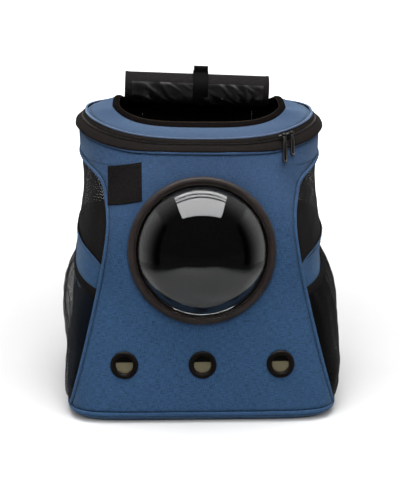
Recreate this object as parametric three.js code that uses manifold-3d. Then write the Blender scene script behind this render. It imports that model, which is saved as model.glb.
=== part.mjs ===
// A soft pet carrier backpack: woven body with mesh sides, bubble window, vents, zipped lid,
// rolled mouth cover, side pockets and carrying straps.
// Millimetres, +Z up. The front faces -Y and +X is the viewer's right.
import * as THREE from 'three';
import { mergeVertices } from 'three/addons/utils/BufferGeometryUtils.js';
import Module from 'manifold-3d';

const wasm = await Module();
wasm.setup();

// Driving dimensions
const gap = 0.4;
const panelThickness = 2.4;
const meshThickness = 1.2;
const pipingRadius = 2.2;
const lidPipingRadius = 1.6;
const seamClear = pipingRadius + 3 * gap;
const seamHeight = 12;
const collarHeight = 321;
const topHeight = 341;
const lean = 0.012;
const leanStart = 150;
// How far the top climbs behind the front, and over what depth.
const topClimb = { height: 13.5, front: 80, reach: 86 };
const backEdge = THREE.MathUtils.degToRad(48);

// Heights of the front panel's rows, closer where its edge turns out to the collar.
const panelRows = [
  seamHeight + pipingRadius + gap, 30, 60, 100, 140, 180, 212, 238, 260, 279, 292, 302, 309.5, 315, 319,
  collarHeight, collarHeight + seamClear, topHeight - pipingRadius - gap,
];

// Plan sections of the body, from the base seam to the top edge. front and back are distances
// from the origin, middle is where the plan is widest and squareness is the superellipse exponent,
// which stays below a limit at the back.
const bodySections = [
  { z: 12, halfWidth: 174, front: 149, middle: 0, back: 133, squareness: 7.5 },
  { z: 40, halfWidth: 176, front: 144.5, middle: 0, back: 134, squareness: 7 },
  { z: 120, halfWidth: 170, front: 130, middle: 5, back: 134, squareness: 5 },
  { z: 215, halfWidth: 162.5, front: 112, middle: 18, back: 132, squareness: 3.7 },
  { z: 290, halfWidth: 155.5, front: 98, middle: 32, back: 129, squareness: 3.1 },
  { z: 341, halfWidth: 159, front: 89, middle: 40, back: 127, squareness: 2.7 },
];
const rearSquareness = 4.8;
// The slanted shoulder that carries the zip, from its lower to its upper edge.
const shoulderLow = { z: 344.5, halfWidth: 161.5, front: 89, middle: 40, back: 127, squareness: 2.65 };
const shoulderHigh = { z: 358, halfWidth: 146.5, front: 76, middle: 42, back: 116, squareness: 2.55 };

// Half-width of the front panel at its piped edge: wide base, narrow waist, full width on top.
const frontEdge = [
  { z: 12, x: 171.5 },
  { z: 90, x: 151 },
  { z: 168, x: 132.5 },
  { z: 218, x: 123 },
  { z: 250, x: 119.5 },
  { z: 280, x: 122 },
  { z: 303, x: 130 },
  { z: 321, x: 158 },
];

const windowDims = {
  z: 218, outer: 94.5, bore: 84, rabbet: 89.3, hub: 90.7, hole: 91.3,
  rise: 9.5, bulge: 58, wall: 2.2, seatRadius: 98, seatBlend: 140, sides: 28,
};
const ventDims = { z: 75, spacing: 100, outer: 18, bore: 11.2, hub: 13.4, hole: 13.9, rise: 3.6, sides: 16 };
const labelDims = { x: -97, z: 300, width: 43, height: 47, thickness: 1.6, tilt: 8 };
const mouth = {
  y: 30, z: 350.7, halfWidth: 110, front: 56, middle: 0, back: 69, frontSquareness: 2.9, backSquareness: 7,
  lift: 14,
};
const lid = { swell: 1.5, inset: 5.2, sides: 34 };
const trimDims = { reach: 4.2, rise: 3.4 };
const roll = {
  y: 78, z: 391, length: 194, radius: 21.5, core: 5, turns: 2.25, sheet: 3, tilt: 2.4, facets: 14,
  tailReach: 15, tailDrop: 25, tailLength: 160,
};
const strapDims = {
  x: 6, width: 20, thickness: 1.6, from: -55, to: 205, tabHeight: 8, tabDepth: 5, tabForward: 4, tabLift: 0.6,
};
// The pocket stands off the side, bulges, and is still open where its hem crosses.
const pocket = {
  stand: 2.9, bulge: 12, foot: 20, hemFront: 167, hemBack: 191, hem: 11, hemThickness: 2.4, margin: 0.03,
  openShare: 0.85, swellPower: 0.8, risePower: 0.7,
};
const windowFoot = { front: 195, back: 226, climbEnd: 0.35, climbPower: 0.7 };
const slider = { length: 10.4, width: 8, height: 3, bar: 1.2, post: 1.6 };
const pullDims = {
  width: 6, thickness: 2, knuckle: 2.7, bore: 1.6, crank: 1.7, tilt: 18, eye: 1.1, taper: 0.75,
};
// Each slider by its x on the zip, with the length of its pull.
const sliders = [
  { name: 'left', x: 103.5, pull: 36 },
  { name: 'right', x: 113, pull: 30 },
];
// The zip's strips by their shares of the shoulder's slope.
const zip = {
  lower: [0.02, 0.43], coil: [0.45, 0.55], upper: [0.57, 0.9],
  end: 52, tape: 1.8, coilThickness: 2.4, coilRise: 0.8,
};
const carryStrap = {
  width: 58, thickness: 9, webbing: 25, webbingThickness: 2, buckleWidth: 34, buckleThickness: 6,
};
// Routes down the back: half-width, height and distance out from the back panel.
const strapRoute = [
  { x: 48, z: 331, out: 6.4 },
  { x: 50, z: 312, out: 7.4 },
  { x: 55, z: 285, out: 20 },
  { x: 63, z: 240, out: 37 },
  { x: 70, z: 190, out: 38 },
  { x: 77, z: 145, out: 29 },
  { x: 82, z: 116, out: 21 },
];
const buckleRoute = [
  { x: 82, z: 114, out: 20.5 },
  { x: 86, z: 100, out: 17 },
  { x: 88, z: 90, out: 14.5 },
];
const webbingRoute = [
  { x: 88.5, z: 88, out: 14 },
  { x: 98, z: 62, out: 8 },
  { x: 108, z: 36, out: 2.4 },
  { x: 112, z: 24, out: 1.6 },
];

const cloth = { color: 0x32527d, roughness: 0.85, metalness: 0 };
const pipingCloth = { color: 0x3a5c8a, roughness: 0.8, metalness: 0 };
const blackCloth = { color: 0x17181b, roughness: 0.8, metalness: 0 };
const blackMesh = { color: 0x0e0f11, roughness: 0.7, metalness: 0 };
const ventCloth = { color: 0x6e6750, roughness: 0.8, metalness: 0 };
const blackPlastic = { color: 0x121315, roughness: 0.35, metalness: 0 };
const clearPlastic = { color: 0xdfe4e8, roughness: 0.05, metalness: 0 };
const darkMetal = { color: 0x2b2a2c, roughness: 0.3, metalness: 0.9 };

const { lerp, smoothstep, degToRad } = THREE.MathUtils;
const vec = (x, y, z) => new THREE.Vector3(x, y, z);
const carrier = new THREE.Group();
carrier.name = 'pet_carrier_backpack';

function addPiece(name, geometry, look, parent = carrier) {
  const mesh = new THREE.Mesh(geometry, new THREE.MeshStandardMaterial(look));
  mesh.name = name;
  parent.add(mesh);
  return mesh;
}

// Smooth value of a table's column at a given height.
function columnAt(rows, key, height) {
  const last = rows.length - 1;
  let i = 0;
  while (i < last - 1 && height > rows[i + 1].z) i += 1;
  const [a, b] = [rows[i], rows[i + 1]];
  const slope = (j) => {
    const [p, q] = [rows[Math.max(j - 1, 0)], rows[Math.min(j + 1, last)]];
    return (q[key] - p[key]) / (q.z - p.z);
  };
  const span = b.z - a.z;
  const t = THREE.MathUtils.clamp((height - a.z) / span, 0, 1);
  const [t2, t3] = [t * t, t * t * t];
  return a[key] * (2 * t3 - 3 * t2 + 1) + b[key] * (3 * t2 - 2 * t3)
    + slope(i) * span * (t3 - 2 * t2 + t) + slope(i + 1) * span * (t3 - t2);
}

function sectionAt(height) {
  const row = { z: height };
  for (const key of ['halfWidth', 'front', 'middle', 'back', 'squareness']) {
    row[key] = columnAt(bodySections, key, height);
  }
  row.rear = Math.min(row.squareness, rearSquareness);
  return row;
}

// The soft top climbs behind the front and sinks a little to the right.
function settle(point) {
  const { x, y, z } = point;
  const share = Math.min(Math.max((y + topClimb.front) / topClimb.reach, 0), 1);
  point.z += topClimb.height * Math.sin((Math.PI / 2) * share) * smoothstep(z, collarHeight, topHeight);
  point.z -= lean * x * smoothstep(z, leanStart, topHeight);
  return point;
}

// A plan section's point at a turn about its middle: -90 degrees is the front, 0 the right side.
function planPoint(row, turn) {
  const [c, s] = [Math.cos(turn), Math.sin(turn)];
  const depth = s < 0 ? row.front + row.middle : row.back - row.middle;
  const n = s < 0 ? row.squareness : row.rear ?? row.squareness;
  const reach = (Math.abs(c / row.halfWidth) ** n + Math.abs(s / depth) ** n) ** (-1 / n);
  return vec(reach * c, row.middle + reach * s, row.z);
}

// The body's outer skin, flattened where the window's ring sits.
function bodySkin(turn, height) {
  const row = sectionAt(height);
  const point = planPoint(row, turn);
  if (Math.sin(turn) < 0) {
    const away = Math.hypot(point.x, height - windowDims.z);
    const flat = 1 - smoothstep(away, windowDims.seatRadius, windowDims.seatBlend);
    point.y = lerp(point.y, -row.front, flat);
  }
  return settle(point);
}

function shoulderSection(share) {
  const row = {};
  for (const key of Object.keys(shoulderLow)) row[key] = lerp(shoulderLow[key], shoulderHigh[key], share);
  return row;
}

const shoulderSkin = (turn, share) => settle(planPoint(shoulderSection(share), turn));

const nudge = 1e-3;
function skinNormal(skin, u, v, vNudge = nudge) {
  const along = skin(u + nudge, v).sub(skin(u - nudge, v));
  const up = skin(u, v + vNudge).sub(skin(u, v - vNudge));
  return along.cross(up).normalize();
}

function bodyOut(turn, height, out) {
  return bodySkin(turn, height).addScaledVector(skinNormal(bodySkin, turn, height, 0.5), out);
}

// The turn at which a plan section has the half-width x, on its front or its back.
function turnAtX(row, x, end = 'front') {
  const n = end === 'front' ? row.squareness : row.rear;
  const depth = end === 'front' ? -row.front - row.middle : row.back - row.middle;
  return Math.atan2(depth * (1 - Math.min(x / row.halfWidth, 1) ** n) ** (1 / n), x);
}

// The turn of the front panel's piped edge, which meets the side at the collar.
function edgeTurn(height) {
  return height < collarHeight ? turnAtX(sectionAt(height), columnAt(frontEdge, 'x', height)) : 0;
}
// The turn from the piped edge that keeps a distance clear of it, measured across the seam.
function edgeClear(height, clear) {
  const turn = edgeTurn(height);
  const across = bodySkin(turn + nudge, height).sub(bodySkin(turn - nudge, height)).divideScalar(2 * nudge);
  const below = height - 2;
  const along = bodySkin(turn, height).sub(bodySkin(edgeTurn(below), below));
  return (clear * along.length()) / across.cross(along).length();
}

// A turn on the right side, mirrored for the left side.
const onSide = (side, turn) => (side > 0 ? turn : Math.PI - turn);
// The turn that a distance along the skin spans, at about the body's mean radius.
const meanRadius = 170;
const turnFor = (distance) => distance / meanRadius;

// A closed geometry of plain positions and triangles, with its faces pointing out.
function closedGeometry(positions, triangles) {
  let volume = 0;
  const corner = (i) => vec(...positions.slice(3 * i, 3 * i + 3));
  for (let i = 0; i < triangles.length; i += 3) {
    const [a, b, c] = triangles.slice(i, i + 3).map(corner);
    volume += a.dot(b.cross(c));
  }
  const geometry = new THREE.BufferGeometry();
  geometry.setAttribute('position', new THREE.Float32BufferAttribute(positions, 3));
  geometry.setIndex(volume < 0 ? [...triangles].reverse() : triangles);
  return geometry;
}

// A wall of even thickness behind a skin given for u and v from 0 to 1.
function wall(skin, columns, rows, thickness, sense = 1) {
  const positions = [];
  const triangles = [];
  const count = (columns + 1) * (rows + 1);
  for (const depth of [0, thickness]) {
    for (let j = 0; j <= rows; j += 1) {
      for (let i = 0; i <= columns; i += 1) {
        const [u, v] = [i / columns, j / rows];
        const point = skin(u, v).addScaledVector(skinNormal(skin, u, v), -sense * depth);
        positions.push(point.x, point.y, point.z);
      }
    }
  }
  const at = (i, j) => j * (columns + 1) + i;
  for (let j = 0; j < rows; j += 1) {
    for (let i = 0; i < columns; i += 1) {
      const [a, b, c, d] = [at(i, j), at(i + 1, j), at(i + 1, j + 1), at(i, j + 1)];
      triangles.push(a, b, c, a, c, d);
      triangles.push(a + count, c + count, b + count, a + count, d + count, c + count);
    }
  }
  const rim = [];
  for (let i = 0; i < columns; i += 1) rim.push(at(i, 0));
  for (let j = 0; j < rows; j += 1) rim.push(at(columns, j));
  for (let i = columns; i > 0; i -= 1) rim.push(at(i, rows));
  for (let j = rows; j > 0; j -= 1) rim.push(at(0, j));
  rim.forEach((p, k) => {
    const q = rim[(k + 1) % rim.length];
    triangles.push(q, p, p + count, q, p + count, q + count);
  });
  return closedGeometry(positions, triangles);
}

// A section carried along frames of { at, out, side }, round a loop or capped at both ends.
function sweep(frames, section, loop = false) {
  const positions = [];
  const triangles = [];
  const sides = section.length;
  for (const { at, out, side } of frames) {
    for (const [o, s] of section) {
      const point = at.clone().addScaledVector(out, o).addScaledVector(side, s);
      positions.push(point.x, point.y, point.z);
    }
  }
  const spans = loop ? frames.length : frames.length - 1;
  for (let i = 0; i < spans; i += 1) {
    const next = (i + 1) % frames.length;
    for (let k = 0; k < sides; k += 1) {
      const [a, b] = [i * sides + k, i * sides + ((k + 1) % sides)];
      const [c, d] = [next * sides + ((k + 1) % sides), next * sides + k];
      triangles.push(a, b, c, a, c, d);
    }
  }
  if (!loop) {
    const last = (frames.length - 1) * sides;
    for (let k = 1; k < sides - 1; k += 1) {
      triangles.push(0, k + 1, k, last, last + k, last + k + 1);
    }
  }
  return closedGeometry(positions, triangles);
}

// Frames along a path of points, with the given outward direction at each.
function framesAlong(points, outAt, loop = false) {
  const last = points.length - 1;
  return points.map((at, i) => {
    const before = points[loop ? (i + last) % points.length : Math.max(i - 1, 0)];
    const after = points[loop ? (i + 1) % points.length : Math.min(i + 1, last)];
    const tangent = after.clone().sub(before).normalize();
    const side = tangent.clone().cross(outAt(i)).normalize();
    return { at, out: side.clone().cross(tangent).normalize(), side };
  });
}

function roundSection(radius, sides) {
  const section = [];
  for (let k = 0; k < sides; k += 1) {
    const angle = (2 * Math.PI * k) / sides;
    section.push([radius * Math.cos(angle), radius * Math.sin(angle)]);
  }
  return section;
}

// A flat section with cut corners: depth along out, width along side.
function strapSection(width, thickness, cut) {
  const [w, t] = [width / 2, thickness / 2];
  return [[-t, -w + cut], [-t + cut / 2, -w], [t - cut / 2, -w], [t, -w + cut],
    [t, w - cut], [t - cut / 2, w], [-t + cut / 2, w], [-t, w - cut]];
}

function bare(geometry) {
  const copy = geometry.clone();
  copy.deleteAttribute('normal');
  copy.deleteAttribute('uv');
  return mergeVertices(copy.index ? copy.toNonIndexed() : copy, 1e-4);
}

function toSolid(geometry) {
  const plain = bare(geometry);
  return new wasm.Manifold(new wasm.Mesh({
    numProp: 3,
    vertProperties: new Float32Array(plain.attributes.position.array),
    triVerts: new Uint32Array(plain.index.array),
  }));
}

function fromSolid(solid) {
  const mesh = solid.getMesh();
  return closedGeometry(Array.from(mesh.vertProperties), Array.from(mesh.triVerts));
}

// A turned ring or shell about +Z from a closed profile of [radius, height].
function turned(profile, segments) {
  const points = profile.map(([r, h]) => new THREE.Vector2(r, h));
  const plain = bare(new THREE.LatheGeometry(points, segments).rotateX(Math.PI / 2));
  return closedGeometry(Array.from(plain.attributes.position.array), Array.from(plain.index.array));
}

// A group whose +Z is the body's normal at a turn and height, with its origin on the skin.
function groupOnBody(turn, height) {
  const group = new THREE.Group();
  group.position.copy(bodySkin(turn, height));
  group.quaternion.setFromUnitVectors(vec(0, 0, 1), skinNormal(bodySkin, turn, height, 0.5));
  group.updateMatrixWorld(true);
  carrier.add(group);
  return group;
}

function holeTool(group, radius, segments) {
  const depth = 16 * panelThickness;
  const rod = new THREE.CylinderGeometry(radius, radius, depth, segments).rotateX(Math.PI / 2);
  return toSolid(rod.applyMatrix4(group.matrixWorld));
}

// Front panel with its window and vents
const windowGroup = groupOnBody(-Math.PI / 2, windowDims.z);
const ventGroups = [-1, 0, 1].map((k) => {
  const turn = turnAtX(sectionAt(ventDims.z), Math.abs(k) * ventDims.spacing);
  return groupOnBody(onSide(k < 0 ? -1 : 1, turn), ventDims.z);
});

function rowHeight(share) {
  const place = THREE.MathUtils.clamp(share, 0, 1) * (panelRows.length - 1);
  const row = Math.min(Math.floor(place), panelRows.length - 2);
  return lerp(panelRows[row], panelRows[row + 1], place - row);
}

function frontPanel() {
  const skin = (u, v) => {
    const height = rowHeight(v);
    const half = Math.PI / 2 + edgeTurn(height) - edgeClear(height, seamClear);
    return bodySkin(-Math.PI / 2 + lerp(-half, half, u), height);
  };
  let solid = toSolid(wall(skin, 16, panelRows.length - 1, panelThickness));
  solid = solid.subtract(holeTool(windowGroup, windowDims.hole, windowDims.sides));
  for (const group of ventGroups) solid = solid.subtract(holeTool(group, ventDims.hole, ventDims.sides));
  return fromSolid(solid);
}
addPiece('front_panel', frontPanel(), cloth);

function windowRing() {
  const { outer, bore, rabbet, hub, rise } = windowDims;
  const back = -panelThickness - 1.5;
  return turned([
    [outer, gap], [outer, 4.5], [outer - 1.8, 7.8], [outer - 4.6, rise], [bore + 3, rise - 1],
    [bore + 2.2, rise - 3], [bore, rise - 3.4], [bore, 0.6], [rabbet, 0.6], [rabbet, back],
    [hub, back], [hub, gap], [outer, gap],
  ], windowDims.sides);
}

function windowDome() {
  const { bore, bulge, wall: thick, rabbet } = windowDims;
  const rim = bore - gap;
  const ball = (rim * rim + bulge * bulge) / (2 * bulge);
  const steps = 4;
  const arc = (radius, turn) => [radius * Math.sin(turn), bulge - ball + radius * Math.cos(turn)];
  const reach = Math.asin(rim / ball);
  const innerReach = Math.acos((ball - bulge - thick) / (ball - thick));
  const profile = [];
  for (let i = 0; i <= steps; i += 1) profile.push(arc(ball, (reach * i) / steps));
  const flange = rabbet - gap;
  profile.push([flange, 0], [flange, -thick]);
  for (let i = steps; i >= 0; i -= 1) profile.push(arc(ball - thick, (innerReach * i) / steps));
  profile[0][0] = 0;
  return turned(profile, windowDims.sides);
}
addPiece('dome_ring', windowRing(), blackPlastic, windowGroup);
addPiece('dome', windowDome(), { ...clearPlastic, transparent: true, opacity: 0.3 }, windowGroup);

ventGroups.forEach((group, i) => {
  const { outer, bore, hub, rise } = ventDims;
  const back = -panelThickness - 1.2;
  const ring = turned([
    [outer, gap], [outer, 1.4], [outer - 1.6, rise - 0.3], [bore + 2, rise], [bore, rise - 1.4],
    [bore, back], [hub, back], [hub, gap], [outer, gap],
  ], ventDims.sides);
  addPiece(`vent_ring_${i + 1}`, ring, blackPlastic, group);
  const disc = new THREE.CylinderGeometry(bore - gap, bore - gap, 0.9, 12).rotateX(Math.PI / 2);
  addPiece(`vent_mesh_${i + 1}`, disc, ventCloth, group).position.z = -1.6;
});

// Sides: lower panel, mesh window above it, collar strip under the zip, pocket and hem
const windowFootAt = (u) => {
  const climb = Math.sin((Math.PI / 2) * THREE.MathUtils.clamp(u / windowFoot.climbEnd, 0, 1));
  return lerp(windowFoot.front, windowFoot.back, climb ** windowFoot.climbPower);
};
const hemAt = (u) => {
  const climb = Math.sin((Math.PI / 2) * Math.min(u * 2.4, 1));
  return lerp(pocket.hemFront, pocket.hemBack, climb);
};

function sideSkin(side, u, height, out = 0) {
  const turn = lerp(edgeTurn(height) + edgeClear(height, seamClear), backEdge, u);
  return bodyOut(onSide(side, turn), height, out);
}

function pocketSkin(side, u, v) {
  const height = lerp(pocket.foot, hemAt(u), v);
  const swell = Math.sin(Math.PI * THREE.MathUtils.clamp(u, 0, 1)) ** pocket.swellPower;
  const rise = Math.sin(Math.PI * pocket.openShare * Math.max(v, 0)) ** pocket.risePower;
  return sideSkin(side, u, height, pocket.stand + pocket.bulge * swell * rise);
}

for (const [name, side] of [['left', -1], ['right', 1]]) {
  const foot = seamHeight + pipingRadius + gap;
  const lower = (u, v) => sideSkin(side, u, lerp(foot, windowFootAt(u) - gap, v));
  addPiece(`side_panel_${name}`, wall(lower, 12, 8, panelThickness, side), cloth);
  const windowHead = collarHeight - seamClear - gap;
  const upper = (u, v) => {
    const share = 1 - Math.max(1 - v, 0) ** 1.7;
    const turnHeight = lerp(windowFoot.front, windowHead, share);
    const turn = lerp(edgeTurn(turnHeight) + edgeClear(turnHeight, seamClear), backEdge, u);
    return bodySkin(onSide(side, turn), lerp(windowFootAt(u) + 4 * gap, windowHead, share));
  };
  addPiece(`side_mesh_${name}`, wall(upper, 12, 7, meshThickness, side), blackMesh);
  const collar = (u, v) => {
    const turn = lerp(-edgeClear(topHeight, seamClear - gap), backEdge, u);
    const height = lerp(collarHeight + pipingRadius + gap, topHeight - pipingRadius - gap, v);
    return bodySkin(onSide(side, turn), height);
  };
  addPiece(`side_collar_${name}`, wall(collar, 7, 1, panelThickness, side), cloth);
  const hemShare = 1 - pocket.hem / (pocket.hemBack - pocket.foot);
  const hemGap = 0.002;
  const across = (u) => lerp(pocket.margin, 1 - pocket.margin, u);
  const bag = (u, v) => pocketSkin(side, across(u), lerp(0, hemShare - hemGap, v));
  addPiece(`side_pocket_${name}`, wall(bag, 10, 6, meshThickness, side), blackMesh);
  const hem = (u, v) => pocketSkin(side, across(u), lerp(hemShare + hemGap, 1, v));
  addPiece(`pocket_hem_${name}`, wall(hem, 10, 1, pocket.hemThickness, side), blackCloth);
}

// Back panel and base tray
function backPanel() {
  const clear = turnFor(2 * gap);
  const heights = [
    seamHeight + pipingRadius + gap, 75, 140, 205, 260, collarHeight - seamClear - gap,
    collarHeight + pipingRadius + gap, topHeight - pipingRadius - gap,
  ];
  const rows = heights.length - 1;
  const skin = (u, v) => {
    const turn = lerp(backEdge + clear, Math.PI - backEdge - clear, u);
    const row = Math.min(Math.max(Math.floor(v * rows), 0), rows - 1);
    return bodySkin(turn, lerp(heights[row], heights[row + 1], v * rows - row));
  };
  return wall(skin, 8, rows, panelThickness);
}
addPiece('back_panel', backPanel(), cloth);

// Loops of points joined one above the other and closed at both ends by a centre point.
function stackedLoops(loops) {
  const positions = [];
  const triangles = [];
  const count = loops[0].length;
  for (const loop of loops) for (const p of loop) positions.push(p.x, p.y, p.z);
  for (let r = 0; r < loops.length - 1; r += 1) {
    for (let k = 0; k < count; k += 1) {
      const [a, b] = [r * count + k, r * count + ((k + 1) % count)];
      triangles.push(a, b, b + count, a, b + count, a + count);
    }
  }
  const first = positions.length / 3;
  for (const loop of [loops[0], loops[loops.length - 1]]) positions.push(0, 0, loop[0].z);
  const top = (loops.length - 1) * count;
  for (let k = 0; k < count; k += 1) {
    const next = (k + 1) % count;
    triangles.push(first, next, k, first + 1, top + k, top + next);
  }
  return closedGeometry(positions, triangles);
}

function basePanel() {
  const count = 36;
  const edge = sectionAt(seamHeight);
  const head = seamHeight - pipingRadius - gap;
  const loopAt = (inset, z) => Array.from({ length: count }, (_, k) => planPoint({
    z,
    halfWidth: edge.halfWidth - inset,
    front: edge.front - inset,
    middle: edge.middle,
    back: edge.back - inset,
    squareness: edge.squareness,
    rear: edge.rear,
  }, (2 * Math.PI * k) / count));
  // Inset and height up the outside, over the rim and down the inside.
  const profile = [
    [9, 0], [2.4, 3], [0, head],
    [panelThickness, head], [panelThickness + 2, 4.6], [panelThickness + 8, panelThickness],
  ];
  return stackedLoops(profile.map(([inset, z]) => loopAt(inset, z)));
}
addPiece('base_panel', basePanel(), cloth);

// Piping along the seams
function loopPiping(skin, share, radius, count) {
  const turns = Array.from({ length: count }, (_, k) => (2 * Math.PI * k) / count);
  const points = turns.map((turn) => skin(turn, share));
  const frames = framesAlong(points, (i) => vec(points[i].x, points[i].y, 0), true);
  return sweep(frames, roundSection(radius, 5), true);
}
addPiece('base_piping', loopPiping(bodySkin, seamHeight, pipingRadius, 32), pipingCloth);
addPiece('top_piping', loopPiping(bodySkin, topHeight, pipingRadius, 32), pipingCloth);

for (const [name, side] of [['left', -1], ['right', 1]]) {
  const heights = panelRows.filter((height) => height > 2 * seamHeight && height <= collarHeight);
  heights.unshift(seamHeight + 2 * pipingRadius + gap);
  const spots = heights.map((height) => [onSide(side, edgeTurn(height)), height]);
  const roundSteps = 6;
  for (let i = 1; i <= roundSteps; i += 1) {
    spots.push([onSide(side, lerp(edgeTurn(collarHeight), backEdge, i / roundSteps)), collarHeight]);
  }
  const points = spots.map(([turn, height]) => bodySkin(turn, height));
  const frames = framesAlong(points, (i) => skinNormal(bodySkin, ...spots[i], 0.5));
  addPiece(`front_piping_${name}`, sweep(frames, roundSection(pipingRadius, 5)), pipingCloth);
}

// Zip band round the shoulder, open at the back where the hinge strip closes it
const zipEnd = degToRad(zip.end);
const zipTurn = (u) => lerp(-Math.PI - zipEnd, zipEnd, u);
const zipStrip = ([from, to], out, thickness) => {
  const skin = (u, v) => {
    const [turn, share] = [zipTurn(u), lerp(from, to, v)];
    return shoulderSkin(turn, share).addScaledVector(skinNormal(shoulderSkin, turn, share), out);
  };
  return wall(skin, 32, 1, thickness);
};
addPiece('zip_tape_lower', zipStrip(zip.lower, 0, zip.tape), blackCloth);
addPiece('zip_coil', zipStrip(zip.coil, zip.coilRise, zip.coilThickness), blackPlastic);
addPiece('zip_tape_upper', zipStrip(zip.upper, 0, zip.tape), blackCloth);
const hingeSkin = (u, v) => {
  const clear = turnFor(2 * gap);
  return shoulderSkin(lerp(zipEnd + clear, Math.PI - zipEnd - clear, u), lerp(zip.lower[0], zip.upper[1], v));
};
addPiece('lid_hinge', wall(hingeSkin, 8, 1, zip.tape), cloth);
const lidPipingShare = 1.02;
addPiece('lid_piping', loopPiping(shoulderSkin, lidPipingShare, lidPipingRadius, lid.sides), pipingCloth);

// Lid with its D-shaped mouth, whose ends stand up
function mouthPoint(turn, out = 0) {
  const row = {
    z: mouth.z,
    halfWidth: mouth.halfWidth + out,
    front: mouth.front + out,
    middle: mouth.middle,
    back: mouth.back + out,
    squareness: Math.sin(turn) < 0 ? mouth.frontSquareness : mouth.backSquareness,
  };
  const point = planPoint(row, turn);
  const { halfWidth, back, lift } = mouth;
  const ends = Math.min(Math.abs(point.x) / halfWidth, 1) ** 5;
  point.z += lift * ends * (1 - 0.5 * smoothstep(point.y, back * 0.8, back));
  point.y += mouth.y;
  return settle(point);
}

function lidPanel() {
  const count = lid.sides;
  const rows = 2;
  const loops = [];
  const lidSkin = (turn, share) => {
    const [edge, lip] = [shoulderSkin(turn, 1), mouthPoint(turn, trimDims.reach + 2 * gap)];
    const point = edge.lerp(lip, lerp(lid.inset / edge.distanceTo(lip), 1, share));
    point.z += lid.swell * Math.sin(Math.PI * share);
    return point;
  };
  for (let r = 0; r <= rows; r += 1) loops.push([r / rows, 0]);
  for (let r = rows; r >= 0; r -= 1) loops.push([r / rows, -panelThickness]);
  const frames = Array.from({ length: count }, (_, k) => {
    const turn = (2 * Math.PI * k) / count;
    return loops.map(([share, drop]) => lidSkin(turn, share).add(vec(0, 0, drop)));
  });
  const positions = frames.flat().flatMap((p) => [p.x, p.y, p.z]);
  const triangles = [];
  const sides = loops.length;
  for (let k = 0; k < count; k += 1) {
    const next = (k + 1) % count;
    for (let r = 0; r < sides; r += 1) {
      const [a, b] = [k * sides + r, k * sides + ((r + 1) % sides)];
      const [c, d] = [next * sides + ((r + 1) % sides), next * sides + r];
      triangles.push(a, b, c, a, c, d);
    }
  }
  return closedGeometry(positions, triangles);
}
addPiece('lid_panel', lidPanel(), cloth);

function mouthTrim() {
  const count = lid.sides;
  const points = Array.from({ length: count }, (_, k) => mouthPoint((2 * Math.PI * k) / count));
  const frames = framesAlong(points, (i) => vec(points[i].x, points[i].y - mouth.y, 0), true);
  const { reach, rise } = trimDims;
  const section = [
    [reach, -rise * 0.4], [reach * 0.6, rise * 0.7], [-reach * 0.5, rise],
    [-reach, rise * 0.4], [-reach * 0.7, -rise], [reach * 0.5, -rise],
  ];
  return sweep(frames, section, true);
}
addPiece('mouth_trim', mouthTrim(), blackCloth);

// Mouth cover rolled up at the back of the lid, held by a webbing strap
const rollGroup = new THREE.Group();
rollGroup.position.set(0, roll.y, roll.z);
rollGroup.rotation.y = degToRad(roll.tilt);
carrier.add(rollGroup);

// Extrudes a YZ outline along X, centred.
function alongX(outline, length) {
  const shape = new THREE.Shape(outline.map(([y, z]) => new THREE.Vector2(y, z)));
  const solid = new THREE.ExtrudeGeometry(shape, { depth: length, bevelEnabled: false, steps: 1 });
  const turn = new THREE.Matrix4().makeBasis(vec(0, 1, 0), vec(0, 0, 1), vec(1, 0, 0));
  return solid.translate(0, 0, -length / 2).applyMatrix4(turn);
}

function rolledFlap() {
  const steps = Math.round(roll.turns * roll.facets);
  const outer = [];
  const inner = [];
  for (let i = 0; i <= steps; i += 1) {
    const share = i / steps;
    const angle = -2 * Math.PI * roll.turns * (1 - share) - Math.PI / 2;
    const radius = lerp(roll.core + roll.sheet, roll.radius, share);
    outer.push([radius * Math.cos(angle), radius * Math.sin(angle)]);
    const inside = radius - roll.sheet;
    inner.push([inside * Math.cos(angle), inside * Math.sin(angle)]);
  }
  const tail = [[0, -roll.radius], [roll.tailReach, -roll.tailDrop],
    [roll.tailReach, roll.sheet - roll.tailDrop], [0, roll.sheet - roll.radius]];
  const sheet = toSolid(alongX([...outer, ...inner.reverse()], roll.length));
  return fromSolid(sheet.add(toSolid(alongX(tail, roll.tailLength))));
}
addPiece('rolled_flap', rolledFlap(), blackMesh, rollGroup);

function rollStrap() {
  const steps = 18;
  const [from, to] = [degToRad(strapDims.from), degToRad(strapDims.to)];
  const inside = roll.radius + gap;
  const ring = (radius) => Array.from({ length: steps + 1 }, (_, i) => {
    const angle = lerp(from, to, i / steps);
    return [radius * Math.cos(angle), radius * Math.sin(angle)];
  });
  const band = alongX([...ring(inside + strapDims.thickness), ...ring(inside).reverse()], strapDims.width);
  const tab = new THREE.BoxGeometry(strapDims.width, strapDims.tabDepth, strapDims.tabHeight);
  tab.translate(0, -strapDims.tabForward, inside + strapDims.tabLift + strapDims.tabHeight / 2);
  return fromSolid(toSolid(band).add(toSolid(tab)));
}
addPiece('roll_strap', rollStrap(), blackCloth, rollGroup).position.x = strapDims.x;

// Bare patch, sewn on the upper left of the front panel
function labelPatch() {
  const tilt = degToRad(labelDims.tilt);
  const skin = (u, v) => {
    const [across, up] = [(u - 0.5) * labelDims.width, (v - 0.5) * labelDims.height];
    const x = labelDims.x + across;
    const height = labelDims.z + across * Math.tan(tilt) + up;
    const turn = onSide(-1, turnAtX(sectionAt(height), -x));
    return bodyOut(turn, height, labelDims.thickness + 2 * gap);
  };
  return wall(skin, 4, 4, labelDims.thickness);
}
addPiece('label_patch', labelPatch(), blackCloth);

// Two sliders on the zip, each with a pull that swings on its bar
const barHeight = slider.height + pullDims.knuckle + gap;

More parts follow.
